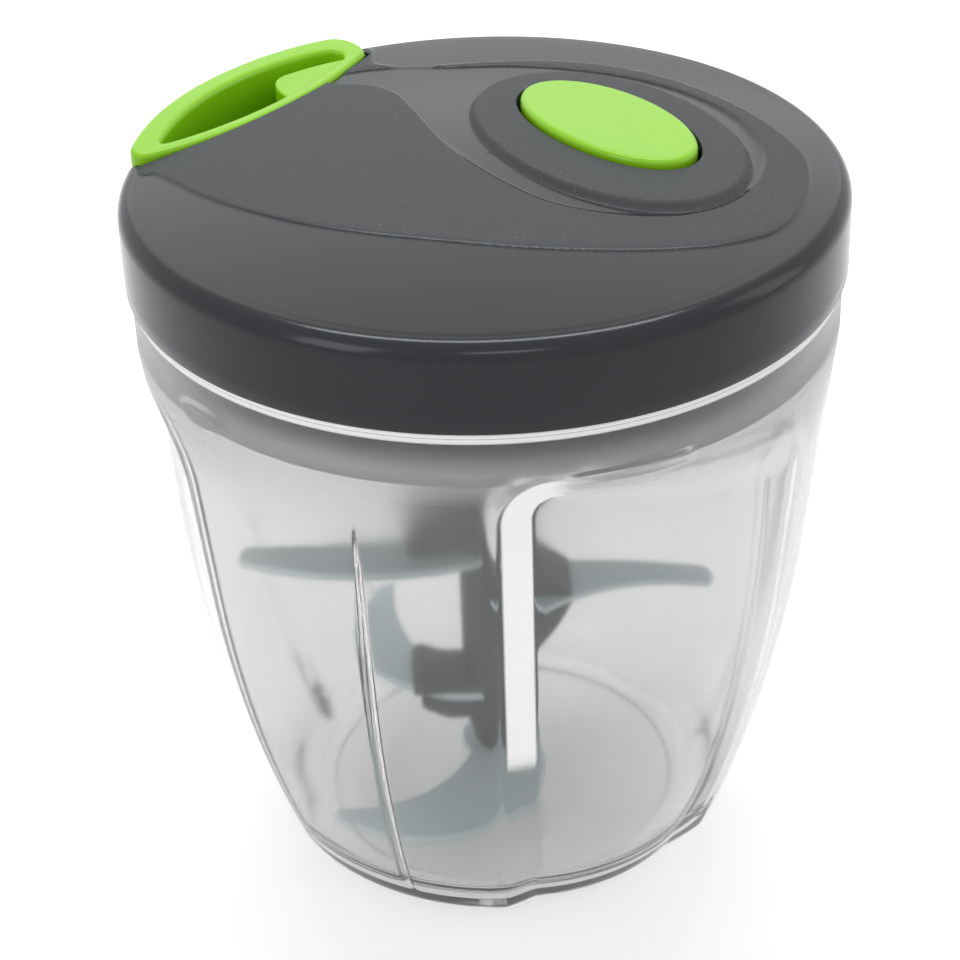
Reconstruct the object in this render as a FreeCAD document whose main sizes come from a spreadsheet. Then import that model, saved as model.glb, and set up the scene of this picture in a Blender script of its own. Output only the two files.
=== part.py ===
import FreeCAD, Part
import Sketcher
import math
import os
import re

# Pull-cord food chopper, millimetres and degrees.
# The frame stands on z = 0 with the bowl's axis on Z; the front of the bowl faces -Y.
# A pull of the rim handle turns a cord drum in the lid, which drives the blade spindle in the bowl.

# Driving dimensions
sizes = {
    # Bowl: a swept wall from the base up, a flare and an upright collar that the lid stands on
    "bowlHeight": 123.6,
    "baseRadius": 44.8,
    "rimRadius": 61.6,
    "wallSweep": 266.0,
    "bowlWall": 2.2,
    "floorHeight": 3.6,
    "floorFillet": 6.0,
    "baseFillet": 4.0,
    "footWidth": 9.0,
    "footDepth": 1.0,
    "flangeWidth": 4.4,
    "flangeThickness": 2.0,
    "collarHeight": 12.0,
    "flareHeight": 16.0,
    "flareRadius": 90.0,
    "neckHeight": 5.4,
    # Grip panels set back into the bowl's wall
    "panelCount": 3,
    "panelSpan": 60.0,
    "panelFirstAngle": -60.3,
    "panelDepth": 1.2,
    "panelDrop": 19.0,
    "panelCorner": 11.0,
    # Twist lugs of the bowl's neck and of the lid
    "lugCount": 4,
    "lugAngle": 14.0,
    "lugReach": 1.9,
    "lugThickness": 2.0,
    "lugFromTop": 0.4,
    "lugPlay": 0.4,
    "lugFirstAngle": 45.0,
    "lidTurn": 22.5,
    # Pivot pin of the bowl's floor
    "pinBossRadius": 4.4,
    "pinBossHeight": 2.4,
    "pinRadius": 1.6,
    "pinReach": 10.0,
    "pinSeat": 3.4,
    # Lid cover
    "coverProud": 1.0,
    "coverWall": 2.2,
    "coverGap": 0.2,
    "coverSide": 11.8,
    "shoulder": 5.0,
    "domeHeight": 3.5,
    # Raised oval round the button, and the button
    "discRise": 1.2,
    "discLong": 34.6,
    "discShort": 21.5,
    "discAcross": 23.3,
    "discForward": 7.2,
    "buttonLong": 21.6,
    "buttonShort": 12.2,
    "buttonAcross": 23.3,
    "buttonForward": 10.4,
    "buttonAngle": -56.0,
    "buttonGap": 0.4,
    "buttonProud": 1.3,
    "buttonTravel": 3.0,
    "buttonClear": 0.5,
    "buttonEdge": 0.8,
    "stemRadius": 2.0,
    "stemGap": 0.15,
    "stemAcross": 26.8,
    "stemForward": 10.9,
    "ventGap": 1.2,
    "valveRadius": 5.0,
    "valveThickness": 1.4,
    "valveTip": 1.2,
    "valveLip": 0.6,
    # Pull handle: a lens between the lid's rim and a larger circle that bows towards the axis
    "handleAngle": 140.0,
    "handleInset": 0.6,
    "handleDepth": 19.5,
    "handleBow": 94.0,
    "handleShift": 4.2,
    "handleTipTrim": 3.64,
    "handleTailTrim": 8.78,
    "handleProud": 1.7,
    "handleHeight": 10.5,
    "handleGap": 0.4,
    "handleBand": 5.5,
    "handleStrip": 3.0,
    "handleEnd": 5.5,
    "tipCorner": 1.9,
    "tailCorner": 3.8,
    "webStart": 4.5,
    "webSlit": 2.6,
    "webDrop": 0.6,
    "pocketFloor": 1.9,
    # Cord
    "cordThickness": 1.8,
    "cordPath": 18.0,
    "cordBelow": 2.8,
    "cordTurns": 4,
    "cordGap": 0.4,
    "cordHole": 0.2,
    "windingLift": 0.1,
    "beadOut": 4.2,
    "beadRadius": 2.1,
    "beadLength": 2.4,
    "eyeletRadius": 2.6,
    "eyeletLip": 1.0,
    "eyeletBack": 0.6,
    # Mechanism round the centre post
    "postRadius": 4.0,
    "runningGap": 0.06,
    "looseGap": 0.3,
    "drumLift": 3.0,
    "drumHeight": 11.0,
    "drumRim": 4.0,
    "flangePlate": 1.4,
    "drumFloor": 2.8,
    "springRoom": 13.6,
    "springCap": 14.6,
    "capPlate": 1.0,
    "springStrip": 0.4,
    "springPitch": 1.15,
    "springTurns": 6,
    "springWidth": 6.2,
    "springStart": 5.2,
    # Ratchet pawls and drive hub
    "pawlSeat": 9.0,
    "pawlReach": 8.5,
    "pawlHalf": 1.6,
    "pawlEye": 2.1,
    "pawlThickness": 2.6,
    "pawlAngle": 95.0,
    "pawlPin": 1.1,
    "ratchetRadius": 15.0,
    "ratchetCount": 12,
    "scallopRadius": 2.3,
    "scallopAngle": 34.0,
    "scallopOut": 0.2,
    "hubRadius": 19.0,
    "hubRimDrop": 0.5,
    "hubFloorDrop": 4.4,
    "hubFloor": 1.9,
    "journalRadius": 9.0,
    "journalProud": 0.6,
    "hubBoreLift": 2.2,
    "postLift": 0.6,
    "hexAcross": 10.0,
    "hexGap": 0.2,
    "hexLength": 15.0,
    # Bearing plate and its guide for the button's stem
    "plateRadius": 37.0,
    "plateThickness": 2.0,
    "guideRadius": 3.6,
    "guideHeight": 9.0,
    "springHole": 0.3,
    "coilWire": 0.7,
    "coilPitch": 2.0,
    "coilSlack": 0.05,
    # Inner cover that closes the lid from below
    "innerDrop": 10.0,
    "innerThickness": 2.0,
    "plugGap": 0.6,
    "plugWall": 2.8,
    "plugHeight": 11.8,
    "sealHeight": 3.0,
    "sealLift": 5.0,
    "sealDepth": 1.6,
    "sealProud": 0.35,
    "sealSlack": 0.2,
    "shaftSealWidth": 3.0,
    # Screws
    "screwRadius": 1.2,
    "screwHead": 2.6,
    "screwHeadHeight": 1.4,
    "screwLength": 9.0,
    "screwHole": 0.2,
    "slotWidth": 0.7,
    "bossRadius": 3.2,
    "coverScrewCount": 4,
    "coverScrewRing": 47.0,
    "coverScrewFirst": 10.0,
    "plateScrewCount": 3,
    "plateScrewRing": 33.0,
    "plateScrewFirst": 80.0,
    # Spindle and blades
    "columnRadius": 7.4,
    "columnDrop": 0.6,
    "columnTaper": 20.0,
    "columnFoot": 11.2,
    "columnWaist": 5.6,
    "footRadius": 4.4,
    "spindleLift": 0.6,
    "socketBelow": 0.5,
    "bushRadius": 3.0,
    "bushLength": 9.5,
    "pinGap": 0.05,
    "bladeThickness": 1.2,
    "eyeRadius": 9.6,
    "tipHalf": 1.2,
    "holderHalf": 6.3,
    # Cutting blocks run past the faces they open by this much
    "overrun": 1.0,
}

# One row for each blade: height of its middle, tip angle, tip radius, bow of its leading and
# trailing edges, the angles on the eye where the two edges start, and the holder blocks' angle,
# reach, height above the blade and depth below it
bladeRows = {
    "blade_top": (60.0, 180.0, 50.0, 6.4, 4.4, 100.0, -60.0, 180.0, 17.5, 11.4, 0.0),
    "blade_upper": (49.0, -1.0, 46.5, 4.0, 2.4, 95.0, -65.0, 0.0, 15.0, 8.0, 8.0),
    "blade_middle": (26.0, 127.0, 43.6, 13.0, 2.5, 130.0, 60.0, 183.0, 17.0, 6.5, 5.0),
    "blade_low": (10.6, -144.0, 39.2, 19.0, 3.2, 125.0, 0.0, None, 0.0, 0.0, 0.0),
}
bladeWords = ("Height", "Angle", "Reach", "LeadBow", "TrailBow", "LeadRoot", "TrailRoot",
              "HolderAngle", "HolderReach", "HolderUp", "HolderDown")


def blade_stem(blade):
    """The first part of a blade's names in the sheet."""
    return "".join(word.capitalize() for word in blade.split("_"))


for blade, row in bladeRows.items():
    for word, value in zip(bladeWords, row):
        if value is not None:
            sizes[blade_stem(blade) + word] = value

# Sizes that follow from the ones above
derived = {
    # The bowl's wall lies on an arc from the foot of the base to just under the rim
    "flangeLow": "bowlHeight - flangeThickness",
    "wallChord": "sqrt((rimRadius - baseRadius)^2 + flangeLow^2)",
    "wallAway": "sqrt(wallSweep^2 - wallChord^2 / 4)",
    "wallAcross": "(rimRadius + baseRadius) / 2 - wallAway * flangeLow / wallChord",
    "wallUp": "flangeLow / 2 + wallAway * (rimRadius - baseRadius) / wallChord",
    "neckInner": "wallAcross + sqrt((wallSweep - bowlWall)^2 - (flangeLow - wallUp)^2)",
    "neckOuter": "neckInner + bowlWall",
    "neckTop": "bowlHeight + neckHeight",
    "collarRadius": "rimRadius + flangeWidth",
    "collarLow": "bowlHeight - collarHeight",
    "flareLow": "collarLow - flareHeight",
    "panelTop": "bowlHeight - panelDrop",
    "panelSkin": "bowlWall / baseRadius * 180 / pi",
    "bossTop": "floorHeight + pinBossHeight",
    # Lid cover
    "coverLow": "bowlHeight + coverGap",
    "coverRadius": "collarRadius + coverProud",
    "sideTop": "coverLow + coverSide",
    "ringRadius": "coverRadius - shoulder",
    "ringTop": "sideTop + shoulder",
    "domeRadius": "(ringRadius^2 + domeHeight^2) / (2 * domeHeight)",
    # Pull handle: where its rim circle and its bow circle meet, and its two trimmed ends
    "handleRadius": "coverRadius - handleInset",
    "handleReach": "handleRadius - handleDepth",
    "bowAcross": "handleReach + handleBow",
    "bowSpan": "sqrt(bowAcross^2 + handleShift^2)",
    "lensAway": "(handleRadius^2 - handleBow^2 + bowSpan^2) / (2 * bowSpan)",
    "lensHalf": "sqrt(handleRadius^2 - lensAway^2)",
    "handleTip": "(lensAway * handleShift + lensHalf * bowAcross) / bowSpan - handleTipTrim",
    "handleTail": "(lensAway * handleShift - lensHalf * bowAcross) / bowSpan + handleTailTrim",
    "handleLong": "handleTip - handleTail",
    "tipWidth": "sqrt(handleRadius^2 - handleTip^2) - bowAcross"
                " + sqrt(handleBow^2 - (handleTip - handleShift)^2)",
    "tailWidth": "sqrt(handleRadius^2 - handleTail^2) - bowAcross"
                 " + sqrt(handleBow^2 - (handleTail - handleShift)^2)",
    "handleTop": "ringTop + handleProud",
    "handleLow": "handleTop - handleHeight",
    "pocketTop": "handleLow - coverGap",
    "pocketLow": "pocketTop - pocketFloor",
    # Mechanism, from the drum down to the hub's journal
    "drumLow": "coverLow + drumLift",
    "drumTop": "drumLow + drumHeight",
    "drumFlange": "cordPath + drumRim",
    "drumRoot": "cordPath - cordThickness / 2",
    "postBore": "postRadius + runningGap",
    "pawlLow": "drumLow - looseGap - pawlThickness",
    "hubRim": "drumLow - hubRimDrop",
    "hubFloorTop": "drumLow - hubFloorDrop",
    "hubFloorLow": "hubFloorTop - hubFloor",
    "plateTop": "hubFloorLow - looseGap",
    "plateLow": "plateTop - plateThickness",
    "innerLow": "bowlHeight - innerDrop",
    "innerTop": "innerLow + innerThickness",
    "plugRadius": "rimRadius - bowlWall - plugGap",
    "plugTop": "innerLow + plugHeight",
    "sealLow": "innerLow + sealLift",
    "sealInner": "journalRadius + shaftSealWidth",
    "journalLow": "innerLow - journalProud",
    "hubBoreLow": "journalLow + hubBoreLift",
    "postLow": "hubBoreLow + postLift",
    "hexLow": "journalLow - hexLength",
    # Cord, from the winding to the bead in the handle's web
    "cordHeight": "drumTop - cordBelow",
    "windingLow": "cordHeight + cordThickness / 2 - cordTurns * cordThickness + windingLift",
    "runStart": "sqrt((cordPath + cordThickness / 2)^2 - drumRoot^2) + cordGap",
    "beadStart": "handleReach + beadOut",
    "wallFace": "bowAcross - sqrt((handleBow + handleGap)^2 - (cordPath + handleShift - eyeletRadius)^2)",
    "eyeletStart": "wallFace - coverWall - eyeletBack",
    "eyeletBore": "cordThickness / 2 + looseGap",
    # Button
    "capLow": "drumTop + buttonTravel + buttonClear",
    "guideTop": "plateTop + guideHeight",
    "coilRadius": "stemRadius + springHole + coilWire / 2",
    # Spindle
    "columnTop": "journalLow - columnDrop",
    "spindleLow": "bossTop + spindleLift",
    "socketLow": "hexLow - socketBelow",
}

doc = FreeCAD.newDocument("pull_chopper")
sheet = doc.addObject("Spreadsheet::Sheet", "Sizes")
cells = {**sizes, **{word: "=" + formula for word, formula in derived.items()}}
for line, (word, value) in enumerate(cells.items(), start=1):
    sheet.set(f"A{line}", word)
    sheet.set(f"B{line}", str(value))
    sheet.setAlias(f"B{line}", word)
doc.recompute()

nodes = []
zAxis = FreeCAD.Vector(0, 0, 1)


def linked(text):
    """An expression in which each name of the sheet points at its cell."""
    return re.sub(r"[A-Za-z]+", lambda found: "Sizes." + found[0] if found[0] in cells else found[0],
                  str(text))


def number(text):
    """The value of an expression now."""
    result = sheet.evalExpression(linked(text))
    return float(getattr(result, "Value", result))


def bind(piece, **settings):
    """Ties properties of a piece to expressions; two underscores stand for a dot."""
    for name, text in settings.items():
        piece.setExpression(name.replace("__", "."), linked(text))
    return piece


def place(piece, across="0", forward="0", up="0", angle=None):
    """Sets where a piece stands, and its turn about Z."""
    if angle is not None:
        piece.Placement = FreeCAD.Placement(FreeCAD.Vector(), FreeCAD.Rotation(zAxis, 10))
        bind(piece, Placement__Rotation__Angle=angle)
    return bind(piece, Placement__Base__x=across, Placement__Base__y=forward, Placement__Base__z=up)


def node(piece, name):
    """Names a finished sub-part and puts it on the list to write."""
    piece.Label = name
    nodes.append(piece)
    return piece


# Part primitives and booleans

def cylinder(name, radius, height, up="0", across="0", forward="0"):
    piece = doc.addObject("Part::Cylinder", name)
    bind(piece, Radius=radius, Height=height)
    return place(piece, across, forward, up)


def box(name, length, width, height, across="0", forward="0", up="0"):
    piece = doc.addObject("Part::Box", name)
    bind(piece, Length=length, Width=width, Height=height)
    return place(piece, across, forward, up)


def bore_through(name, radius, up, height, across="0", forward="0"):
    """A round cutting block that runs past both faces of what it opens."""
    return cylinder(name, radius, f"({height}) + 2 * overrun", f"({up}) - overrun", across, forward)


def ring(name, outer, inner, height, up="0", across="0", forward="0"):
    rim = cylinder(name + "_rim", outer, height, up, across, forward)
    return cut(name, rim, bore_through(name + "_bore", inner, up, height, across, forward))


def hexagon(name, flats, height, up):
    piece = doc.addObject("Part::Prism", name)
    piece.Polygon = 6
    bind(piece, Circumradius=f"({flats}) / 2 / cos(30)", Height=height)
    return place(piece, up=up)


def oval(name, long, short, height, across, forward, up):
    """An upright oval block whose long axis lies along the button's."""
    edge = doc.addObject("Part::Ellipse", name + "_edge")
    bind(edge, MajorRadius=long, MinorRadius=short)
    place(edge, across, forward, up, "buttonAngle")
    block = doc.addObject("Part::Extrusion", name)
    block.Base = edge
    block.DirMode = "Custom"
    block.Dir = zAxis
    block.Solid = True
    bind(block, LengthFwd=height)
    return block


def cut(name, base, tool):
    piece = doc.addObject("Part::Cut", name)
    piece.Base = base
    piece.Tool = tool
    return piece


def fuse(name, pieces):
    piece = doc.addObject("Part::MultiFuse", name)
    piece.Shapes = pieces
    return piece


def common(name, pieces):
    piece = doc.addObject("Part::MultiCommon", name)
    piece.Shapes = pieces
    return piece


def round_edges(name, base, chosen, radius):
    """Rounds the edges of a piece that the test picks."""
    doc.recompute()
    piece = doc.addObject("Part::Fillet", name)
    piece.Base = base
    size = number(radius)
    piece.Edges = [(i, size, size) for i, edge in enumerate(base.Shape.Edges, start=1) if chosen(edge)]
    return piece


def upright(edge):
    """True for a straight edge that stands along Z."""
    ends = [point.Point for point in edge.Vertexes]
    return len(ends) == 2 and (ends[0] - ends[1]).normalize().cross(zAxis).Length < 0.001


# Bodies with sketches

def new_sketch(body, name, role, lift="0"):
    sketch = body.newObject("Sketcher::SketchObject", name)
    plane = next(item for item in body.Origin.OriginFeatures if item.Role == role)
    sketch.AttachmentSupport = (plane, [""])
    sketch.MapMode = "FlatFace"
    return bind(sketch, AttachmentOffset__Base__z=lift)


def draw_outline(sketch, corners, bends=None):
    """Draws a closed outline through corners given as pairs of expressions.

    An edge with an entry in bends is an arc: its radius, and 1 if it turns left or -1 if right.
    """
    bends = bends or {}
    points = [FreeCAD.Vector(number(x), number(y), 0) for x, y in corners]
    first, last = [], []
    for i, start in enumerate(points):
        end = points[(i + 1) % len(points)]
        if i not in bends:
            sketch.addGeometry(Part.LineSegment(start, end), False)
            first.append((i, 1))
            last.append((i, 2))
            continue
        radius, side = number(bends[i][0]), bends[i][1]
        chord = end - start
        left = FreeCAD.Vector(-chord.y, chord.x, 0).normalize()
        away = math.sqrt(radius ** 2 - (chord.Length / 2) ** 2)
        centre = (start + end) / 2 + left * away * side
        low, high = (start, end) if side > 0 else (end, start)
        circle = Part.Circle(centre, zAxis, radius)
        turns = [math.atan2(point.y - centre.y, point.x - centre.x) for point in (low, high)]
        sketch.addGeometry(Part.ArcOfCircle(circle, turns[0], turns[1]), False)
        first.append((i, 1 if side > 0 else 2))
        last.append((i, 2 if side > 0 else 1))
    for i in range(len(points)):
        following = (i + 1) % len(points)
        sketch.addConstraint(Sketcher.Constraint("Coincident", *last[i], *first[following]))
    for i, (x, y) in enumerate(corners):
        for kind, text, line in (("DistanceX", x, -2), ("DistanceY", y, -1)):
            if str(text) == "0":
                sketch.addConstraint(Sketcher.Constraint("PointOnObject", *first[i], line))
                continue
            rule = sketch.addConstraint(Sketcher.Constraint(kind, -1, 1, *first[i], number(text)))
            sketch.renameConstraint(rule, f"{kind}{i}")
            sketch.setExpression(f"Constraints.{kind}{i}", linked(text))
    for i, (radius, side) in bends.items():
        rule = sketch.addConstraint(Sketcher.Constraint("Radius", i, number(radius)))
        sketch.renameConstraint(rule, f"Radius{i}")
        sketch.setExpression(f"Constraints.Radius{i}", linked(radius))


def turned(name, corners, bends=None):
    """A body turned about Z from an outline of (radius, height) corners."""
    body = doc.addObject("PartDesign::Body", name)
    sketch = new_sketch(body, name + "_outline", "XZ_Plane")
    draw_outline(sketch, corners, bends)
    spin = body.newObject("PartDesign::Revolution", name + "_spin")
    spin.Profile = sketch
    spin.ReferenceAxis = (sketch, ["V_Axis"])
    spin.Angle = 360
    return body


def turned_on_pull(name, corners):
    """A body turned about the cord's line, from (distance along the pull, radius) corners."""
    body = doc.addObject("PartDesign::Body", name)
    sketch = new_sketch(body, name + "_outline", "XY_Plane")
    draw_outline(sketch, corners)
    spin = body.newObject("PartDesign::Revolution", name + "_spin")
    spin.Profile = sketch
    spin.ReferenceAxis = (sketch, ["H_Axis"])
    spin.Angle = 360
    return place(body, "cordPath * sin(handleAngle)", "-cordPath * cos(handleAngle)", "cordHeight",
                 "handleAngle")


def add_pad(body, name, lift, length, corners, bends=None):
    sketch = new_sketch(body, name + "_outline", "XY_Plane", lift)
    draw_outline(sketch, corners, bends)
    pad = body.newObject("PartDesign::Pad", name)
    pad.Profile = sketch
    return bind(pad, Length=length)


def add_round_pad(body, name, lift, length, radius):
    """A round pad on the body's own axis."""
    sketch = new_sketch(body, name + "_circle", "XY_Plane", lift)
    add_circle(sketch, radius)
    pad = body.newObject("PartDesign::Pad", name)
    pad.Profile = sketch
    return bind(pad, Length=length)


def add_circle(sketch, radius):
    sketch.addGeometry(Part.Circle(FreeCAD.Vector(), zAxis, number(radius)), False)
    sketch.addConstraint(Sketcher.Constraint("Coincident", 0, 3, -1, 1))
    rule = sketch.addConstraint(Sketcher.Constraint("Radius", 0, number(radius)))
    sketch.renameConstraint(rule, "Radius0")
    sketch.setExpression("Constraints.Radius0", linked(radius))


# Bowl

def wall_at(height, inset="0"):
    """The radius at a height of the wall's outer face, moved in by an inset."""
    return f"(wallAcross + sqrt((wallSweep - ({inset}))^2 - (({height}) - wallUp)^2))"


def panel_cutters(name, inset, low, fillet, top, span, corner):
    """Ring sections, one for each grip panel, that reach in to the set-back wall."""
    depth, bend = f"({inset}) + panelDepth", f"({low}) + ({fillet})"
    foot, far = wall_at(bend, depth), "collarRadius + overrun"
    whole = turned(name + "_ring", [
        (f"{foot} - ({fillet})", f"{low} - overrun"),
        (far, f"{low} - overrun"),
        (far, top),
        (wall_at(top, depth), top),
        (foot, bend),
        (f"{foot} - ({fillet})", low),
    ], {3: (f"wallSweep - ({depth})", -1), 4: (fillet, -1)})
    lid = number(top)
    sections = []
    for i in range(int(number("panelCount"))):
        sector = cylinder(f"{name}_sector_{i}", f"{far} + overrun", f"({top}) + 2 * overrun", "-overrun")
        bind(sector, Angle=span)
        place(sector, up="-overrun", angle=f"panelFirstAngle - ({span}) / 2 + 360 / panelCount * {i}")
        section = common(f"{name}_section_{i}", [whole, sector])
        sections.append(round_edges(f"{name}_{i}", section,
                                    lambda edge: (abs(edge.BoundBox.ZMin - lid) < 0.001
                                                  and isinstance(edge.Curve, Part.Line)),
                                    corner))
    return fuse(name, sections)


def make_lugs(name, outer, inner, low, firstAngle):
    """Short ring sections for the twist lock, spread evenly round the rim."""
    lugs = []
    count = int(number("lugCount"))
    for i in range(count):
        sector = cylinder(f"{name}_sector_{i}", outer, "lugThickness", low)
        bind(sector, Angle="lugAngle")
        place(sector, up=low, angle=f"{firstAngle} - lugAngle / 2 + 360 / lugCount * {i}")
        inside = bore_through(f"{name}_inside_{i}", inner, low, "lugThickness")
        lugs.append(cut(f"{name}_{i}", sector, inside))
    return lugs


def make_bowl():
    outside = turned("bowl_outside", [
        ("0", "footDepth"),
        ("baseRadius - footWidth", "footDepth"),
        ("baseRadius - footWidth", "0"),
        (f"{wall_at('baseFillet')} - baseFillet", "0"),
        (wall_at("baseFillet"), "baseFillet"),
        (wall_at("flareLow"), "flareLow"),
        ("collarRadius", "collarLow"),
        ("collarRadius", "bowlHeight"),
        ("neckOuter", "bowlHeight"),
        ("neckOuter", "neckTop"),
        ("0", "neckTop"),
    ], {3: ("baseFillet", 1), 4: ("wallSweep", 1), 5: ("flareRadius", -1)})
    bend = "floorHeight + floorFillet"
    hollow = turned("bowl_hollow", [
        ("0", "floorHeight"),
        (f"{wall_at(bend, 'bowlWall')} - floorFillet", "floorHeight"),
        (wall_at(bend, "bowlWall"), bend),
        ("neckInner", "flangeLow"),
        ("neckInner", "neckTop + overrun"),
        ("0", "neckTop + overrun"),
    ], {1: ("floorFillet", 1), 2: ("wallSweep - bowlWall", 1)})
    paneledOutside = cut("bowl_panels_outside", outside,
                         panel_cutters("panels", "0", "0", "baseFillet", "panelTop", "panelSpan",
                                       "panelCorner"))
    paneledHollow = cut("bowl_panels_inside", hollow,
                        panel_cutters("inner_panels", "bowlWall", "floorHeight", "floorFillet",
                                      "(panelTop + bowlWall)", "(panelSpan + 2 * panelSkin)",
                                      "panelCorner + bowlWall"))
    shell = cut("bowl_shell", paneledOutside, paneledHollow)
    boss = cylinder("pin_boss", "pinBossRadius", "pinBossHeight + overrun", "floorHeight - overrun")
    lugs = make_lugs("bowl_lug", "neckOuter + lugReach", "neckOuter - bowlWall / 2",
                     "(neckTop - lugThickness - lugFromTop)", "lugFirstAngle")
    solid = fuse("bowl_solid", [shell, boss] + lugs)
    seat = cylinder("pin_seat", "pinRadius", "pinSeat + overrun", "bossTop - pinSeat")
    node(cut("bowl_cut", solid, seat), "bowl")


def make_pivot_pin():
    low = "bossTop - pinSeat"
    node(turned("pivot_pin_body", [
        ("0", low),
        ("pinRadius", low),
        ("pinRadius", "bossTop + pinReach - pinRadius"),
        ("0", "bossTop + pinReach"),
    ], {2: ("pinRadius", 1)}), "pivot_pin")


# Lid cover

def domed_solid(name, lift, low):
    """The lid's outer form as one solid, raised by a lift and cut off at a height."""
    return turned(name, [
        ("0", low),
        ("coverRadius", low),
        ("coverRadius", f"sideTop + {lift}"),
        ("ringRadius", f"ringTop + {lift}"),
        ("0", f"ringTop + domeHeight + {lift}"),
    ], {2: ("shoulder", 1), 3: ("domeRadius", 1)})


def pull_lens(name, outer, bow, grow, low, height):
    """A lens-shaped block of the handle's outline with its middle on +X, grown at both ends."""
    rim = cylinder(name + "_rim", outer, height, low)
    bowed = cylinder(name + "_bow", bow, height, low, "bowAcross", "handleShift")
    strip = box(name + "_strip", "coverRadius + overrun", f"handleLong + 2 * ({grow})", height,
                forward=f"handleTail - ({grow})", up=low)
    return common(name, [rim, bowed, strip])


def ring_positions(count, radius, firstAngle):
    """Expression pairs for places spread evenly on a circle."""
    total = int(number(count))
    turns = [f"({firstAngle} + 360 / {count} * {i})" for i in range(total)]
    return [(f"{radius} * cos({turn})", f"{radius} * sin({turn})") for turn in turns]


coverScrews = ring_positions("coverScrewCount", "coverScrewRing", "coverScrewFirst")
plateScrews = ring_positions("plateScrewCount", "plateScrewRing", "plateScrewFirst")


def make_lid_cover():
    outside = domed_solid("cover_outside", "0", "coverLow")
    inside = turned("cover_inside", [
        ("0", "coverLow - overrun"),
        ("coverRadius - coverWall", "coverLow - overrun"),
        ("coverRadius - coverWall", "sideTop"),
        ("ringRadius", "ringTop - coverWall"),
        ("0", "ringTop + domeHeight - coverWall"),
    ], {2: ("shoulder - coverWall", 1), 3: ("domeRadius - coverWall", 1)})
    shell = cut("cover_shell", outside, inside)
    # Pocket walls, posts and lugs fill parts of the inside and end at the outer form
    tall = "ringTop + domeHeight"
    pocket = pull_lens("pocket_block", "coverRadius", "handleBow + handleGap + coverWall",
                       "handleGap + coverWall", "pocketLow", tall)
    fills = [place(pocket, angle="handleAngle"), cylinder("centre_post", "postRadius", tall, "postLow")]
    for i, (across, forward) in enumerate(coverScrews):
        fills.append(cylinder(f"cover_boss_{i}", "bossRadius", tall, "innerTop", across, forward))
    for i, (across, forward) in enumerate(plateScrews):
        fills.append(cylinder(f"plate_boss_{i}", "bossRadius", tall, "plateTop", across, forward))
    fills += make_lugs("cover_lug", "coverRadius - coverWall / 2", "neckOuter + lugPlay",
                       "(neckTop - 2 * lugThickness - lugFromTop - lugPlay)", "(lugFirstAngle + lidTurn)")
    limit = domed_solid("cover_limit", "0", "innerLow")
    trimmed = common("cover_fills", [fuse("cover_fill_group", fills), limit])
    discLow = "ringTop - coverWall"
    raised = common("cover_disc", [
        domed_solid("cover_disc_limit", "discRise", discLow),
        oval("cover_disc_block", "discLong", "discShort", tall, "discAcross", "discForward", discLow),
    ])
    discUnder = cut("cover_disc_skin", raised, inside)
    whole = fuse("cover_whole", [shell, trimmed, discUnder])
    # Openings
    notch = common("handle_notch", [
        cylinder("notch_bow", "handleBow + handleGap", tall, "pocketTop", "bowAcross", "handleShift"),
        box("notch_strip", "coverRadius + overrun", "handleLong + 2 * handleGap", tall,
            forward="handleTail - handleGap", up="pocketTop"),
    ])
    tools = [place(notch, angle="handleAngle")]
    tools.append(oval("button_hole", "buttonLong + buttonGap", "buttonShort + buttonGap", tall,
                      "buttonAcross", "buttonForward", "ringTop - 3 * coverWall"))
    tools.append(turned_on_pull("eyelet_hole", [
        ("wallFace - 3 * coverWall", "0"),
        ("wallFace + coverWall", "0"),
        ("wallFace + coverWall", "eyeletRadius"),
        ("wallFace - 3 * coverWall", "eyeletRadius"),
    ]))
    for i, (across, forward) in enumerate(coverScrews):
        tools.append(cylinder(f"cover_pilot_{i}", "screwRadius", "screwLength", "innerTop - overrun",
                              across, forward))
    for i, (across, forward) in enumerate(plateScrews):
        tools.append(cylinder(f"plate_pilot_{i}", "screwRadius", "screwLength", "plateTop - overrun",
                              across, forward))
    node(cut("cover_cut", whole, fuse("cover_tools", tools)), "lid_cover")


def make_inner_cover():
    body = turned("inner_cover_body", [
        ("sealInner", "innerLow"),
        ("plugRadius", "innerLow"),
        ("plugRadius", "sealLow"),
        ("plugRadius - sealDepth", "sealLow"),
        ("plugRadius - sealDepth", "sealLow + sealHeight"),
        ("plugRadius", "sealLow + sealHeight"),
        ("plugRadius", "plugTop"),
        ("plugRadius - plugWall", "plugTop"),
        ("plugRadius - plugWall", "innerTop"),
        ("sealInner", "innerTop"),
    ])
    holes = [bore_through("vent_hole", "stemRadius + ventGap", "innerLow", "innerThickness",
                          "stemAcross", "stemForward")]
    for i, (across, forward) in enumerate(coverScrews):
        holes.append(bore_through(f"inner_hole_{i}", "screwRadius + screwHole", "innerLow",
                                  "innerThickness", across, forward))
    node(cut("inner_cover_cut", body, fuse("inner_holes", holes)), "lid_inner_cover")


def make_seals():
    seal = ring("rim_seal_ring", "plugRadius + sealProud", "plugRadius - sealDepth + sealSlack",
                "sealHeight - 2 * sealSlack", "sealLow + sealSlack")
    node(seal, "rim_seal")
    node(ring("shaft_seal_ring", "sealInner", "journalRadius + looseGap", "innerThickness", "innerLow"),
         "shaft_seal")


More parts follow.
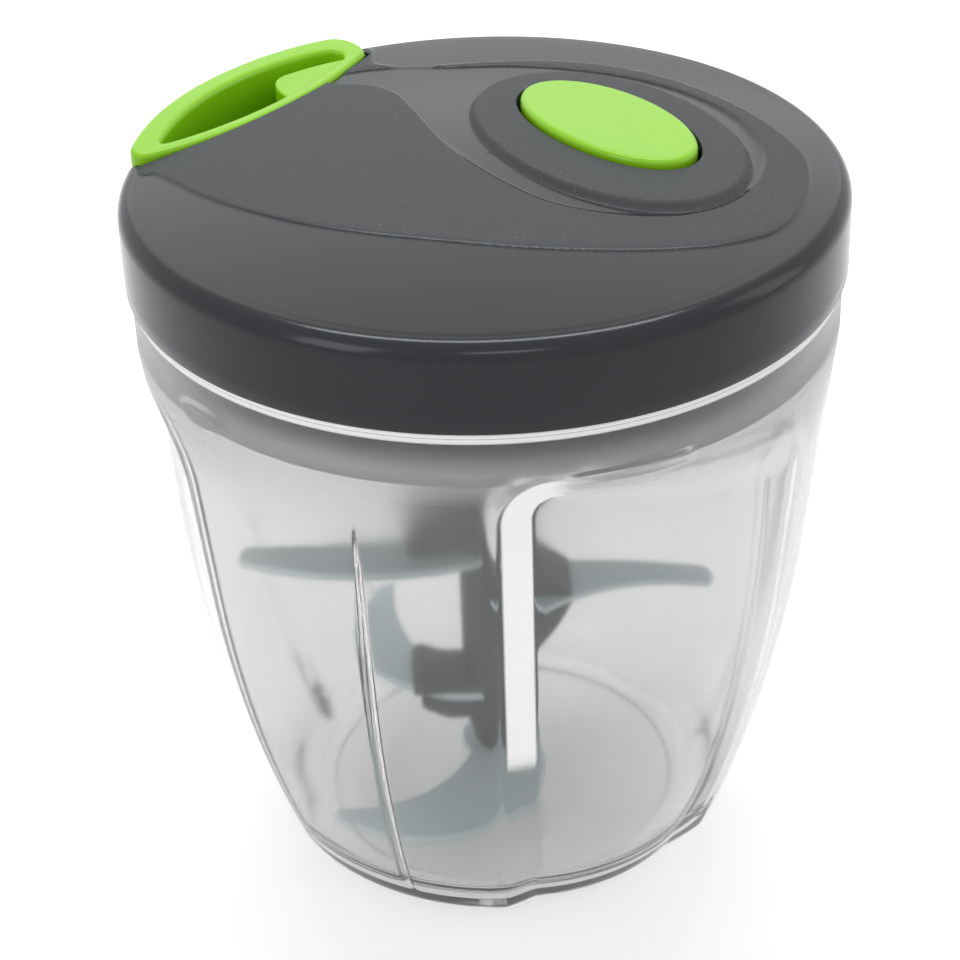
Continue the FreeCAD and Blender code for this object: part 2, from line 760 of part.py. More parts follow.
def make_screws(name, places, head):
    """A set of like screws: a slotted head under a plate, and a shank up into its boss."""
    screws = []
    for i, (across, forward) in enumerate(places):
        cap = cylinder(f"{name}_head_{i}", "screwHead", "screwHeadHeight", f"{head} - screwHeadHeight",
                       across, forward)
        shank = cylinder(f"{name}_shank_{i}", "screwRadius", "screwLength", head, across, forward)
        slot = box(f"{name}_slot_{i}", "2 * (screwHead + overrun)", "slotWidth",
                   "screwHeadHeight / 2 + overrun", f"{across} - screwHead - overrun",
                   f"{forward} - slotWidth / 2", f"{head} - screwHeadHeight - overrun")
        screws.append(cut(f"{name}_{i}", fuse(f"{name}_blank_{i}", [cap, shank]), slot))
    group = doc.addObject("Part::Compound", name + "_group")
    group.Links = screws
    node(group, name)


# Pull handle and cord

def make_handle():
    outline = pull_lens("handle_blank", "handleRadius", "handleBow", "0", "handleLow", "handleHeight")
    tailEdges = round_edges("handle_tail", outline,
                            lambda edge: upright(edge) and edge.Vertexes[0].Point.y < 0,
                            "min(tailCorner; 0.495 * tailWidth)")
    tall = number("handleHeight")
    blank = round_edges("handle_tip", tailEdges,
                        lambda edge: (upright(edge) and edge.Vertexes[0].Point.y > 0
                                      and abs(edge.Length - tall) < 0.01),
                        "min(tipCorner; 0.495 * tipWidth)")
    low, through = "handleLow - overrun", "handleHeight + 2 * overrun"
    opening = common("handle_opening", [
        cylinder("opening_rim", "handleRadius - handleBand", through, low),
        cylinder("opening_bow", "handleBow - handleStrip", through, low, "bowAcross", "handleShift"),
        box("opening_strip", "coverRadius", "handleLong - 2 * handleEnd", through,
            forward="handleTail + handleEnd", up=low),
    ])
    web = common("handle_web", [
        cylinder("web_rim", "handleRadius - handleBand - webSlit", through, low),
        box("web_side", "coverRadius", "-webStart - handleTail", "handleHeight + overrun - webDrop",
            forward="handleTail", up=low),
    ])
    freeSpace = cut("handle_free_space", opening, web)
    form = place(cut("handle_form", blank, freeSpace), angle="handleAngle")
    passage = turned_on_pull("handle_cord_hole", [
        ("handleReach - handleStrip", "0"),
        ("beadStart + 2 * beadLength", "0"),
        ("beadStart + 2 * beadLength", "beadRadius + cordHole"),
        ("beadStart", "beadRadius + cordHole"),
        ("beadStart", "cordThickness / 2 + cordHole"),
        ("handleReach - handleStrip", "cordThickness / 2 + cordHole"),
    ])
    node(cut("handle_cut", form, passage), "pull_handle")


def make_cord():
    node(ring("cord_winding_ring", "cordPath + cordThickness / 2", "drumRoot",
              "cordTurns * cordThickness", "windingLow"), "cord_winding")
    # The run starts where it clears the winding, and ends on the bead in the handle's web
    node(turned_on_pull("cord_run_body", [
        ("runStart", "0"),
        ("beadStart", "0"),
        ("beadStart", "cordThickness / 2"),
        ("runStart", "cordThickness / 2"),
    ]), "cord_run")
    node(turned_on_pull("cord_bead_body", [
        ("beadStart", "0"),
        ("beadStart + beadLength", "0"),
        ("beadStart + beadLength", "beadRadius * 0.7"),
        ("beadStart + beadLength * 0.7", "beadRadius"),
        ("beadStart", "beadRadius"),
    ]), "cord_bead")
    node(turned_on_pull("cord_eyelet_body", [
        ("eyeletStart - eyeletLip", "eyeletBore"),
        ("wallFace - looseGap", "eyeletBore"),
        ("wallFace - looseGap", "eyeletRadius"),
        ("eyeletStart", "eyeletRadius"),
        ("eyeletStart", "eyeletRadius + eyeletLip"),
        ("eyeletStart - eyeletLip", "eyeletRadius + eyeletLip"),
    ]), "cord_eyelet")


# Mechanism in the lid

def make_drum():
    node(turned("cord_drum_body", [
        ("postBore", "drumLow"),
        ("drumFlange", "drumLow"),
        ("drumFlange", "drumLow + flangePlate"),
        ("drumRoot", "drumLow + flangePlate"),
        ("drumRoot", "drumTop - flangePlate"),
        ("drumFlange", "drumTop - flangePlate"),
        ("drumFlange", "drumTop"),
        ("springCap", "drumTop"),
        ("springCap", "drumTop - capPlate"),
        ("springRoom", "drumTop - capPlate"),
        ("springRoom", "drumLow + drumFloor"),
        ("postBore", "drumLow + drumFloor"),
    ]), "cord_drum")
    node(ring("spring_cap_ring", "springCap", "postRadius + looseGap", "capPlate",
              "drumTop - capPlate"), "spring_cap")


def make_recoil_spring():
    """A flat strip wound in half turns whose centres alternate, so that the gap stays even."""
    pitch, strip = number("springPitch"), number("springStrip")
    radius = number("springStart")
    low = number("drumLow + drumFloor + looseGap")
    inner, outer = [], []
    for i in range(2 * int(number("springTurns"))):
        centre = FreeCAD.Vector(pitch / 2 * (i % 2), 0, low)
        sign = 1 if i % 2 == 0 else -1
        for side, grow in ((inner, 0.0), (outer, strip)):
            size = radius + pitch / 2 * i + grow
            start = centre + FreeCAD.Vector(sign * size, 0, 0)
            middle = centre + FreeCAD.Vector(0, sign * size, 0)
            end = centre - FreeCAD.Vector(sign * size, 0, 0)
            side.append(Part.Arc(start, middle, end).toShape())
    opening = Part.makeLine(inner[0].Vertexes[0].Point, outer[0].Vertexes[0].Point)
    closing = Part.makeLine(inner[-1].Vertexes[-1].Point, outer[-1].Vertexes[-1].Point)
    edges = inner + [closing] + outer + [opening]
    face = Part.Face(Part.Wire(Part.__sortEdges__(edges)))
    piece = doc.addObject("Part::Feature", "recoil_spring_strip")
    piece.Shape = face.extrude(FreeCAD.Vector(0, 0, number("springWidth")))
    node(piece, "recoil_spring")


def make_pawls():
    """Two pawls on the drum's underside, each a short arm on its own pin."""
    for side, turn in (("front", "0"), ("back", "180")):
        x, y = f"pawlSeat * cos({turn})", f"pawlSeat * sin({turn})"
        end = f"({turn} + pawlAngle)"
        tipX, tipY = f"{x} + pawlReach * cos({end})", f"{y} + pawlReach * sin({end})"
        pivot = cylinder(f"pawl_{side}_pivot", "pawlEye", "pawlThickness", "pawlLow", x, y)
        tip = cylinder(f"pawl_{side}_tip", "pawlHalf", "pawlThickness", "pawlLow", tipX, tipY)
        arm = box(f"pawl_{side}_arm", "pawlReach", "2 * pawlHalf", "pawlThickness")
        place(arm, f"{x} + pawlHalf * sin({end})", f"{y} - pawlHalf * cos({end})", "pawlLow", end)
        bore = bore_through(f"pawl_{side}_bore", "pawlPin + runningGap", "pawlLow", "pawlThickness", x, y)
        node(cut(f"pawl_{side}_cut", fuse(f"pawl_{side}_form", [pivot, tip, arm]), bore), f"pawl_{side}")
        pin = cylinder(f"pawl_{side}_pin_shank", "pawlPin", "drumLow - hubFloorTop - looseGap",
                       "hubFloorTop + looseGap", x, y)
        node(pin, f"pawl_pin_{side}")


def make_drive_hub():
    cup = turned("drive_hub_cup", [
        ("0", "journalLow"),
        ("journalRadius", "journalLow"),
        ("journalRadius", "hubFloorLow"),
        ("hubRadius", "hubFloorLow"),
        ("hubRadius", "hubRim"),
        ("ratchetRadius", "hubRim"),
        ("ratchetRadius", "hubFloorTop"),
        ("postBore", "hubFloorTop"),
        ("postBore", "hubBoreLow"),
        ("0", "hubBoreLow"),
    ])
    # Rounded gaps between the ratchet's teeth
    sketch = new_sketch(cup, "scallop_outline", "XY_Plane", "hubRim")
    reach = "ratchetRadius + scallopOut"
    x, y = f"({reach}) * cos(scallopAngle)", f"({reach}) * sin(scallopAngle)"
    centre = FreeCAD.Vector(number(x), number(y), 0)
    sketch.addGeometry(Part.Circle(centre, zAxis, number("scallopRadius")), False)
    for name, kind, text in (("across", "DistanceX", x), ("forward", "DistanceY", y)):
        rule = sketch.addConstraint(Sketcher.Constraint(kind, -1, 1, 0, 3, number(text)))
        sketch.renameConstraint(rule, name)
        sketch.setExpression("Constraints." + name, linked(text))
    rule = sketch.addConstraint(Sketcher.Constraint("Radius", 0, number("scallopRadius")))
    sketch.renameConstraint(rule, "size")
    sketch.setExpression("Constraints.size", linked("scallopRadius"))
    doc.recompute()
    before = cup.Shape.Volume
    gap = cup.newObject("PartDesign::Pocket", "ratchet_gap")
    gap.Profile = sketch
    bind(gap, Length="hubRim - hubFloorTop")
    doc.recompute()
    if cup.Shape.Volume >= before:
        gap.Reversed = True
        doc.recompute()
    pattern = cup.newObject("PartDesign::PolarPattern", "ratchet_gaps")
    pattern.Originals = [gap]
    axis = next(item for item in cup.Origin.OriginFeatures if item.Role == "Z_Axis")
    pattern.Axis = (axis, [""])
    pattern.Angle = 360
    bind(pattern, Occurrences="ratchetCount")
    cup.Tip = pattern
    doc.recompute()
    stub = hexagon("hex_stub", "hexAcross", "hexLength + overrun", "hexLow")
    node(fuse("drive_hub_solid", [cup, stub]), "drive_hub")


def make_bearing_plate():
    plate = cylinder("plate_disc", "plateRadius", "plateThickness", "plateLow")
    guide = cylinder("stem_guide", "guideRadius", "guideHeight + overrun", "plateTop - overrun",
                     "stemAcross", "stemForward")
    tools = [
        bore_through("journal_hole", "journalRadius + runningGap", "plateLow", "plateThickness"),
        bore_through("stem_hole", "stemRadius + stemGap", "plateLow", "plateThickness + guideHeight",
                     "stemAcross", "stemForward"),
    ]
    for i, (across, forward) in enumerate(plateScrews):
        tools.append(bore_through(f"plate_hole_{i}", "screwRadius + screwHole", "plateLow",
                                  "plateThickness", across, forward))
    node(cut("plate_cut", fuse("plate_blank", [plate, guide]), fuse("plate_tools", tools)),
         "bearing_plate")


def make_button():
    cap = common("button_cap", [
        domed_solid("button_limit", "(discRise + buttonProud)", "capLow"),
        oval("button_block", "buttonLong", "buttonShort", "ringTop", "buttonAcross", "buttonForward",
             "capLow"),
    ])
    edge = number("ringTop + discRise")
    softened = round_edges("button_soft", cap, lambda item: item.BoundBox.ZMin > edge, "buttonEdge")
    stem = cylinder("button_stem", "stemRadius", "capLow + overrun - innerLow", "innerLow",
                    "stemAcross", "stemForward")
    tip = cylinder("button_tip", "valveTip", "valveThickness + valveLip + overrun",
                   "innerLow - valveThickness - valveLip", "stemAcross", "stemForward")
    node(fuse("button_solid", [softened, stem, tip]), "button")
    node(ring("vent_valve_ring", "valveRadius", "valveTip", "valveThickness",
              "innerLow - valveThickness", "stemAcross", "stemForward"), "vent_valve")
    line = doc.addObject("Part::Helix", "button_spring_line")
    bind(line, Radius="coilRadius", Pitch="coilPitch",
         Height="capLow - guideTop - coilWire - 2 * coilSlack")
    wire = doc.addObject("Part::Circle", "button_spring_wire")
    wire.Placement = FreeCAD.Placement(FreeCAD.Vector(), FreeCAD.Rotation(FreeCAD.Vector(1, 0, 0), 90))
    bind(wire, Radius="coilWire / 2", Placement__Base__x="coilRadius")
    coil = doc.addObject("Part::Sweep", "button_spring_coil")
    coil.Sections = [wire]
    coil.Spine = (line, [])
    coil.Solid = True
    coil.Frenet = True
    place(coil, "stemAcross", "stemForward", "guideTop + coilWire / 2 + coilSlack")
    node(coil, "button_spring")


# Spindle and blades

def make_spindle():
    column = turned("spindle_column", [
        ("0", "spindleLow"),
        ("footRadius", "spindleLow"),
        ("footRadius", "columnFoot"),
        ("columnWaist", "columnFoot"),
        ("columnRadius", "columnTaper"),
        ("columnRadius", "columnTop"),
        ("0", "columnTop"),
    ])
    blocks = []
    for blade in bladeRows:
        stem = blade_stem(blade)
        if stem + "HolderAngle" not in sizes:
            continue
        parts = ((stem + "HolderUp", f"({stem}Height + bladeThickness / 2)"),
                 (stem + "HolderDown", f"({stem}Height - bladeThickness / 2 - {stem}HolderDown)"))
        for side, (height, low) in enumerate(parts):
            if number(height) == 0:
                continue
            block = box(f"{blade}_holder_{side}", f"{stem}HolderReach", "2 * holderHalf", height)
            turn = f"{stem}HolderAngle"
            place(block, f"holderHalf * sin({turn})", f"-holderHalf * cos({turn})", low, turn)
            blocks.append(block)
    whole = fuse("spindle_blank", [column] + blocks)
    socket = hexagon("hex_socket", "hexAcross + 2 * hexGap", "columnTop - socketLow + overrun", "socketLow")
    bore = cylinder("bush_seat", "bushRadius", "bushLength + overrun", "spindleLow - overrun")
    node(cut("spindle_cut", whole, fuse("spindle_tools", [socket, bore])), "spindle")
    node(ring("spindle_bush_ring", "bushRadius", "pinRadius + pinGap", "bushLength", "spindleLow"),
         "spindle_bush")


def bow_radius(start, end, bow):
    """The radius of an arc that bows from the line between two corners."""
    chord = f"((({end[0]}) - ({start[0]}))^2 + (({end[1]}) - ({start[1]}))^2)"
    return f"(({chord} / 4 + ({bow})^2) / (2 * ({bow})))"


def make_blade(name):
    """A curved blade: a round eye on the spindle and a wing swept back to its tip."""
    stem = blade_stem(name)
    seat = "columnRadius" if number(f"{stem}Height") > number("columnFoot") else "footRadius"
    body = doc.addObject("PartDesign::Body", name + "_body")
    add_round_pad(body, name + "_eye", "0", "bladeThickness", "eyeRadius")
    corners = [
        (f"eyeRadius * cos({stem}LeadRoot)", f"eyeRadius * sin({stem}LeadRoot)"),
        (stem + "Reach", "tipHalf"),
        (stem + "Reach", "-tipHalf"),
        (f"eyeRadius * cos({stem}TrailRoot)", f"eyeRadius * sin({stem}TrailRoot)"),
    ]
    leading = bow_radius(corners[0], corners[1], stem + "LeadBow")
    trailing = bow_radius(corners[2], corners[3], stem + "TrailBow")
    add_pad(body, name + "_wing", "0", "bladeThickness", corners,
            {0: (leading, -1), 2: (trailing, 1)})
    place(body, up=f"{stem}Height - bladeThickness / 2", angle=stem + "Angle")
    hole = bore_through(name + "_hole", seat, f"{stem}Height - bladeThickness / 2", "bladeThickness")
    node(cut(name + "_cut", body, hole), name)


make_bowl()
make_pivot_pin()
make_lid_cover()
make_inner_cover()
make_seals()
make_screws("cover_screws", coverScrews, "innerLow")
make_screws("plate_screws", plateScrews, "plateLow")
make_handle()
make_cord()
make_drum()
make_recoil_spring()
make_pawls()
make_drive_hub()
make_bearing_plate()
make_button()
make_spindle()
for blade in bladeRows:
    make_blade(blade)

doc.recompute()
for piece in doc.Objects:
    failed = [state for state in piece.State if state in ("Invalid", "Error")]
    if failed:
        raise RuntimeError(f"{piece.Label} could not be built: {failed}")
for piece in nodes:
    if piece.Shape.isNull() or not piece.Shape.isValid() or not piece.Shape.Solids:
        raise RuntimeError(f"{piece.Label} has no valid solid")

os.makedirs("parts", exist_ok=True)
for piece in nodes:
    piece.Shape.exportStep(f"parts/{piece.Label}.step")
    bounds = piece.Shape.BoundBox
    print(f"{piece.Label}: {len(piece.Shape.Solids)} solid, {piece.Shape.Volume / 1000:.2f} cm3, "
          f"z {bounds.ZMin:.1f} to {bounds.ZMax:.1f}")
print(len(nodes), "nodes")
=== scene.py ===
import math
import bpy
import bmesh
import numpy as np
from mathutils import Matrix, Quaternion, Vector
from mathutils.geometry import tessellate_polygon


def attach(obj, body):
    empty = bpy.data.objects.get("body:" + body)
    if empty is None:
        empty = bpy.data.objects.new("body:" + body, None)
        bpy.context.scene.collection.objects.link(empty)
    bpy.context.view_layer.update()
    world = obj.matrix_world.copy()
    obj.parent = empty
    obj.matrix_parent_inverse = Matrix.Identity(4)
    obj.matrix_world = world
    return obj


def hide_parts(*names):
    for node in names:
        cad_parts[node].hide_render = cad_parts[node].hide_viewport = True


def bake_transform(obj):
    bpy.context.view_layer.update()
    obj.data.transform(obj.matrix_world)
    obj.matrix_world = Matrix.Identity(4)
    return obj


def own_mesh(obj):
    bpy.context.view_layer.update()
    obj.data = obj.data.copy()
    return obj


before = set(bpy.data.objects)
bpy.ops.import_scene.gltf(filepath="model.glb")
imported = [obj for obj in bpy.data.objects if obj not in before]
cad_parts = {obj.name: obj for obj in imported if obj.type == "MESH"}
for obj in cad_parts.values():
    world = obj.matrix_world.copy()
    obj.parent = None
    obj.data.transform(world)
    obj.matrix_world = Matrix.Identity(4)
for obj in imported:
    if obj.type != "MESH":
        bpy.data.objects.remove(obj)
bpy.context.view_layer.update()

mm = 0.001
pi = math.pi


# mesh helpers, all in millimetres in the part's own frame

def addObject(name, data):
    thing = bpy.data.objects.new(name, data)
    bpy.context.scene.collection.objects.link(thing)
    return thing


def makeObject(name, points, faces, sharpAngle=35, place=None):
    if place is not None:
        points = [tuple(place @ Vector(point)) for point in points]
    mesh = bpy.data.meshes.new(name)
    mesh.from_pydata((np.asarray(points, float) * mm).tolist(), [], faces)
    work = bmesh.new()
    work.from_mesh(mesh)
    bmesh.ops.recalc_face_normals(work, faces=work.faces)
    work.to_mesh(mesh)
    work.free()
    smoothMesh(mesh, sharpAngle)
    return addObject(name, mesh)


def smoothMesh(mesh, sharpAngle):
    mesh.polygons.foreach_set("use_smooth", [True] * len(mesh.polygons))
    mesh.set_sharp_from_angle(angle=math.radians(sharpAngle))
    mesh.update()


def joinPieces(name, pieces):
    # one mesh object out of several
    target = pieces[0]
    with bpy.context.temp_override(active_object=target, object=target,
                                   selected_objects=pieces, selected_editable_objects=pieces):
        bpy.ops.object.join()
    target.name = target.data.name = name
    return target


def writeLayer(piece, name, values):
    # one number for each point, which the material reads by its name
    layer = piece.data.attributes.new(name, "FLOAT", "POINT")
    layer.data.foreach_set("value", values.astype(np.float32))


def ringFaces(rows, around, start=0):
    row = np.arange(rows - 1)[:, None] * around + start
    col = np.arange(around)[None, :]
    here, there = row + col, row + (col + 1) % around
    return np.stack([here, there, there + around, here + around], -1).reshape(-1, 4).tolist()


def ringMesh(name, rings, sharpAngle=35):
    # a closed skin through rings of points; the first and last ring are shut with a fan
    rings = np.asarray(rings, float)
    rows, around = rings.shape[:2]
    points = np.concatenate([rings.reshape(-1, 3), rings[0].mean(0)[None], rings[-1].mean(0)[None]])
    faces = ringFaces(rows, around)
    first, last = rows * around, rows * around + 1
    base = (rows - 1) * around
    for i in range(around):
        j = (i + 1) % around
        faces += [[first, j, i], [last, base + i, base + j]]
    return makeObject(name, points, faces, sharpAngle)


def evenAngles(count):
    return np.linspace(0, 2 * pi, count, endpoint=False)


def ringAt(angles, radius, z):
    # a ring of points, with one radius and height or one of each for every angle
    radius, z = np.broadcast_to(radius, angles.shape), np.broadcast_to(z, angles.shape)
    return np.stack([radius * np.cos(angles), radius * np.sin(angles), z], 1)


def turnedMesh(name, profile, around, centre=(0, 0), sharpAngle=35):
    # turned about an upright axis from (radius, height) pairs
    angles = evenAngles(around)
    return ringMesh(name, [ringAt(angles, r, z) + (*centre, 0) for r, z in profile], sharpAngle)


def arcPoints(centre, radius, first, last, count):
    angles = np.linspace(first, last, count)
    return np.stack([centre[0] + radius * np.cos(angles), centre[1] + radius * np.sin(angles)], 1)


def cubicLine(a, b, c, d):
    # points between the ends a and d of a curve with the handles b and c
    t = np.linspace(0, 1, 14)[1:-1, None]
    return (1 - t) ** 3 * a + 3 * (1 - t) ** 2 * t * b + 3 * (1 - t) * t ** 2 * c + t ** 3 * d


def polar(radius, degrees):
    turn = math.radians(degrees)
    return np.array([radius * math.cos(turn), radius * math.sin(turn)])


def unit(ways):
    return ways / np.linalg.norm(ways, axis=-1, keepdims=True)


def outlineNormals(loop):
    # outward normals of a counter-clockwise loop, longer where it turns sharply
    ahead, behind = unit(np.roll(loop, -1, 0) - loop), unit(loop - np.roll(loop, 1, 0))
    both = ahead + behind
    normal = np.stack([both[:, 1], -both[:, 0]], 1)
    length = np.linalg.norm(normal, axis=1)
    normal /= np.maximum(length, 1e-6)[:, None]
    return normal / np.maximum(length / 2, 0.6)[:, None]


def turnsLeft(loop):
    x, y = loop[:, 0], loop[:, 1]
    return np.sum(x * np.roll(y, -1) - np.roll(x, -1) * y) > 0


def capFaces(points, rings):
    # triangles between an outline and its holes, all given as point numbers
    order = [i for ring in rings for i in ring]
    triangles = tessellate_polygon([[Vector(points[i]) for i in ring] for ring in rings])
    return [[order[i] for i in triangle] for triangle in triangles]


def plateMesh(name, outline, low, high, edge, holes=(), place=None, sharpAngle=50):
    # an upright plate with rounded edges from an outline, with holes through it
    loops = [np.asarray(loop, float) for loop in (outline, *holes)]
    loops = [loop if turnsLeft(loop) == (i == 0) else loop[::-1] for i, loop in enumerate(loops)]
    levels = [(low, edge * 1.15)]
    for turn in np.linspace(0, pi / 2, 5):
        levels.append((low + edge * (1 - math.cos(turn)), edge * (1 - math.sin(turn))))
    levels += [(high - (z - low), inset) for z, inset in reversed(levels)]
    points, faces, caps = [], [], {0: [], len(levels) - 1: []}
    for loop in loops:
        inward = -outlineNormals(loop)
        start = len(points)
        for z, inset in levels:
            points += [(x, y, z) for x, y in loop + inward * inset]
        faces += ringFaces(len(levels), len(loop), start)
        for level, cap in caps.items():
            cap.append([start + level * len(loop) + i for i in range(len(loop))])
    for cap in caps.values():
        faces += capFaces(points, cap)
    return makeObject(name, points, faces, sharpAngle, place)


def tubeMesh(name, path, radius, around=12):
    # a round tube along points, shut at both ends
    path = np.asarray(path, float)
    tangent = unit(np.gradient(path, axis=0))
    side = unit(np.cross(tangent, (0, 0, 1.0)))
    up = np.cross(side, tangent)
    rings = [[p + radius * (math.cos(a) * s + math.sin(a) * u) for a in evenAngles(around)]
             for p, s, u in zip(path, side, up)]
    return ringMesh(name, rings, 60)


def cutAway(piece, cutter):
    change = piece.modifiers.new("cut", "BOOLEAN")
    change.operation, change.solver, change.object = "DIFFERENCE", "EXACT", cutter
    graph = bpy.context.evaluated_depsgraph_get()
    mesh = bpy.data.meshes.new_from_object(piece.evaluated_get(graph))
    piece.modifiers.clear()
    old, piece.data = piece.data, mesh
    bpy.data.meshes.remove(old)
    bpy.data.objects.remove(cutter)
    smoothMesh(mesh, 35)


def smooth(x):
    x = np.clip(x, 0, 1)
    return x * x * (3 - 2 * x)


def softBox(x, half, edge):
    # 1 within the half width, 0 beyond it, with a soft edge
    return smooth((half + edge / 2 - np.abs(x)) / edge)


def softMin(a, b, soft):
    share = np.clip(0.5 + 0.5 * (b - a) / soft, 0, 1)
    return b * (1 - share) + a * share - soft * share * (1 - share)


def edgeDistance(points, loop):
    # distance to a closed loop, positive inside it
    best = np.full(len(points), 1e9)
    inside = np.zeros(len(points), bool)
    for start, end in zip(loop, np.roll(loop, -1, 0)):
        line = end - start
        share = np.clip(((points - start) @ line) / (line @ line), 0, 1)
        best = np.minimum(best, np.linalg.norm(points - start - share[:, None] * line, axis=1))
        crossing = (start[1] > points[:, 1]) != (end[1] > points[:, 1])
        rise = line[1] or 1e-9
        inside ^= crossing & (points[:, 0] < line[0] * (points[:, 1] - start[1]) / rise + start[0])
    return np.where(inside, best, -best)


def roundLoop(corners, count=240):
    # a smooth closed line through the corners
    corners = np.asarray(corners, float)
    t = np.linspace(0, 1, count // len(corners), endpoint=False)[:, None]
    spans = []
    for a, b, c, d in zip(*(np.roll(corners, k, 0) for k in (1, 0, -1, -2))):
        spans.append(0.5 * (2 * b + (c - a) * t + (2 * a - 5 * b + 4 * c - d) * t ** 2
                            + (3 * b - a - 3 * c + d) * t ** 3))
    return np.concatenate(spans)


# shader helpers

def addNode(tree, kind, settings=None, **inputs):
    # an input goes by its socket's name, or by i and its place; gives the node's outputs
    node = tree.nodes.new("ShaderNode" + kind)
    for key, value in (settings or {}).items():
        setattr(node, key, value)
    for key, value in inputs.items():
        byPlace = key[0] == "i" and key[1:].isdigit()
        socket = node.inputs[int(key[1:]) if byPlace else key.replace("_", " ")]
        if isinstance(value, bpy.types.NodeSocket):
            tree.links.new(value, socket)
        else:
            socket.default_value = value
    return node.outputs


def spread(tree, value, low=0.0, high=1.0, first=0.0, last=1.0, soft=False):
    # takes a value from the range low to high over to first to last
    settings = {"interpolation_type": "SMOOTHSTEP" if soft else "LINEAR"}
    return addNode(tree, "MapRange", settings, Value=value, i1=low, i2=high, i3=first, i4=last)[0]


def combine(tree, operation, a, b):
    return addNode(tree, "Math", {"operation": operation}, i0=a, i1=b)[0]


def mixColours(tree, factor, dark, light):
    # each tone is a colour or a socket
    dark, light = (tone if isinstance(tone, bpy.types.NodeSocket) else (*tone, 1) for tone in (dark, light))
    return addNode(tree, "Mix", {"data_type": "RGBA"}, i0=factor, i6=dark, i7=light)[2]


def mixShaders(tree, factor, first, second):
    return addNode(tree, "MixShader", i0=factor, i1=first[0], i2=second[0])


def newGroup(name, inputs, addNodes):
    # addNodes makes the group's nodes and gives its outputs by name
    group = bpy.data.node_groups.new(name, "ShaderNodeTree")
    addSocket, kind = group.interface.new_socket, "NodeSocketFloat"
    for word, value in inputs.items():
        addSocket(name=word, in_out="INPUT", socket_type=kind).default_value = value
    given = group.nodes.new("NodeGroupInput").outputs
    made = addNodes(group, given, addNode(group, "TexCoord")["Object"])
    for word in made:
        addSocket(name=word, in_out="OUTPUT", socket_type=kind)
    result = group.nodes.new("NodeGroupOutput").inputs
    for word, socket in made.items():
        group.links.new(socket, result[word])
    return group


def wearNodes(group, given, place):
    # soft clouds for colour and hair scratches for gloss
    clouds = addNode(group, "TexNoise", Vector=place, Scale=given["cloudScale"], Detail=4.0)
    stretch = addNode(group, "Mapping", Vector=place, Rotation=(0.3, 0.5, 0.9), Scale=(1.0, 14.0, 6.0))
    hairs = addNode(group, "TexNoise", Vector=stretch[0], Scale=260.0, Detail=3.0)
    thin = spread(group, hairs[0], 0.62, 0.7)
    return {"variation": clouds[0], "gloss": combine(group, "MULTIPLY", thin, given["scratchAmount"])}


def sparkNodes(group, given, place):
    # the fine grain of a spark-eroded mould
    cells = addNode(group, "TexVoronoi", Vector=place, Scale=given["grainScale"])
    noise = addNode(group, "TexNoise", Vector=place, Scale=given["grainScale"], Detail=2.0)
    mixed = addNode(group, "Mix", i0=given["coarseness"], i2=noise[0], i3=cells[0])
    return {"height": mixed[0], "fleck": spread(group, noise[0], 0.62, 0.8)}


def brushedNodes(group, given, place):
    # lines left by grinding, along the part's own X
    turn = addNode(group, "CombineXYZ", Z=given["lineTurn"])
    laid = addNode(group, "Mapping", Vector=place, Rotation=turn[0], Scale=(0.04, 1.0, 1.0))
    return {"lines": addNode(group, "TexNoise", Vector=laid[0], Scale=given["lineScale"], Detail=3.0)[0]}


def braidNodes(group, given, place):
    # crossing strands of a plaited cord
    waves = []
    for turn in (0.7, -0.7):
        laid = addNode(group, "Mapping", Vector=place, Rotation=(0, turn, 0.87))
        waves.append(addNode(group, "TexWave", Vector=laid[0], Scale=given["strandScale"])[1])
    return {"height": combine(group, "MAXIMUM", *waves)}


wearGroup = newGroup("surfaceWear", {"cloudScale": 40.0, "scratchAmount": 0.5}, wearNodes)
sparkGroup = newGroup("sparkGrain", {"grainScale": 1500.0, "coarseness": 0.5}, sparkNodes)
brushedGroup = newGroup("brushedLines", {"lineScale": 900.0, "lineTurn": 0.0}, brushedNodes)
braidGroup = newGroup("braidWeave", {"strandScale": 900.0}, braidNodes)


def useGroup(tree, group, **inputs):
    return addNode(tree, "Group", {"node_tree": group}, **inputs)


def newMaterial(name, **settings):
    material = bpy.data.materials.new(name)
    material.use_nodes = True
    tree = material.node_tree
    shader = tree.nodes["Principled BSDF"]
    for key, value in settings.items():
        shader.inputs[key.replace("_", " ")].default_value = value
    return material, tree, shader


def feed(shader, name, socket):
    shader.id_data.links.new(socket, shader.inputs[name])


def tint(shader, factor, dark, light):
    feed(shader, "Base Color", mixColours(shader.id_data, factor, dark, light))


def roughen(shader, factor, low, high):
    feed(shader, "Roughness", spread(shader.id_data, factor, first=low, last=high))


def raiseBump(shader, height, distance, strength, edgeRadius=None):
    # surface relief, laid over softened edges where a radius is given
    tree = shader.id_data
    under = {"Normal": addNode(tree, "Bevel", {"samples": 4}, Radius=edgeRadius)[0]} if edgeRadius else {}
    bump = addNode(tree, "Bump", Height=height, Distance=distance, Strength=strength, **under)
    feed(shader, "Normal", bump[0])


def plainPlastic(name, dark, light, *rough):
    material, tree, shader = newMaterial(name)
    wear = useGroup(tree, wearGroup, cloudScale=55.0, scratchAmount=0.5)
    tint(shader, wear["variation"], dark, light)
    roughen(shader, wear["variation"], *rough)
    raiseBump(shader, wear["gloss"], 0.00002, 0.3, 0.0003)
    return material


def plainSteel(name, dark, light, *rough, lineTurn=0.0, metallic=1.0):
    material, tree, shader = newMaterial(name, Metallic=metallic)
    lines = useGroup(tree, brushedGroup, lineScale=900.0, lineTurn=lineTurn)["lines"]
    tint(shader, lines, dark, light)
    roughen(shader, lines, *rough)
    raiseBump(shader, lines, 0.00003, 0.25, 0.0002)
    return material


# finishes

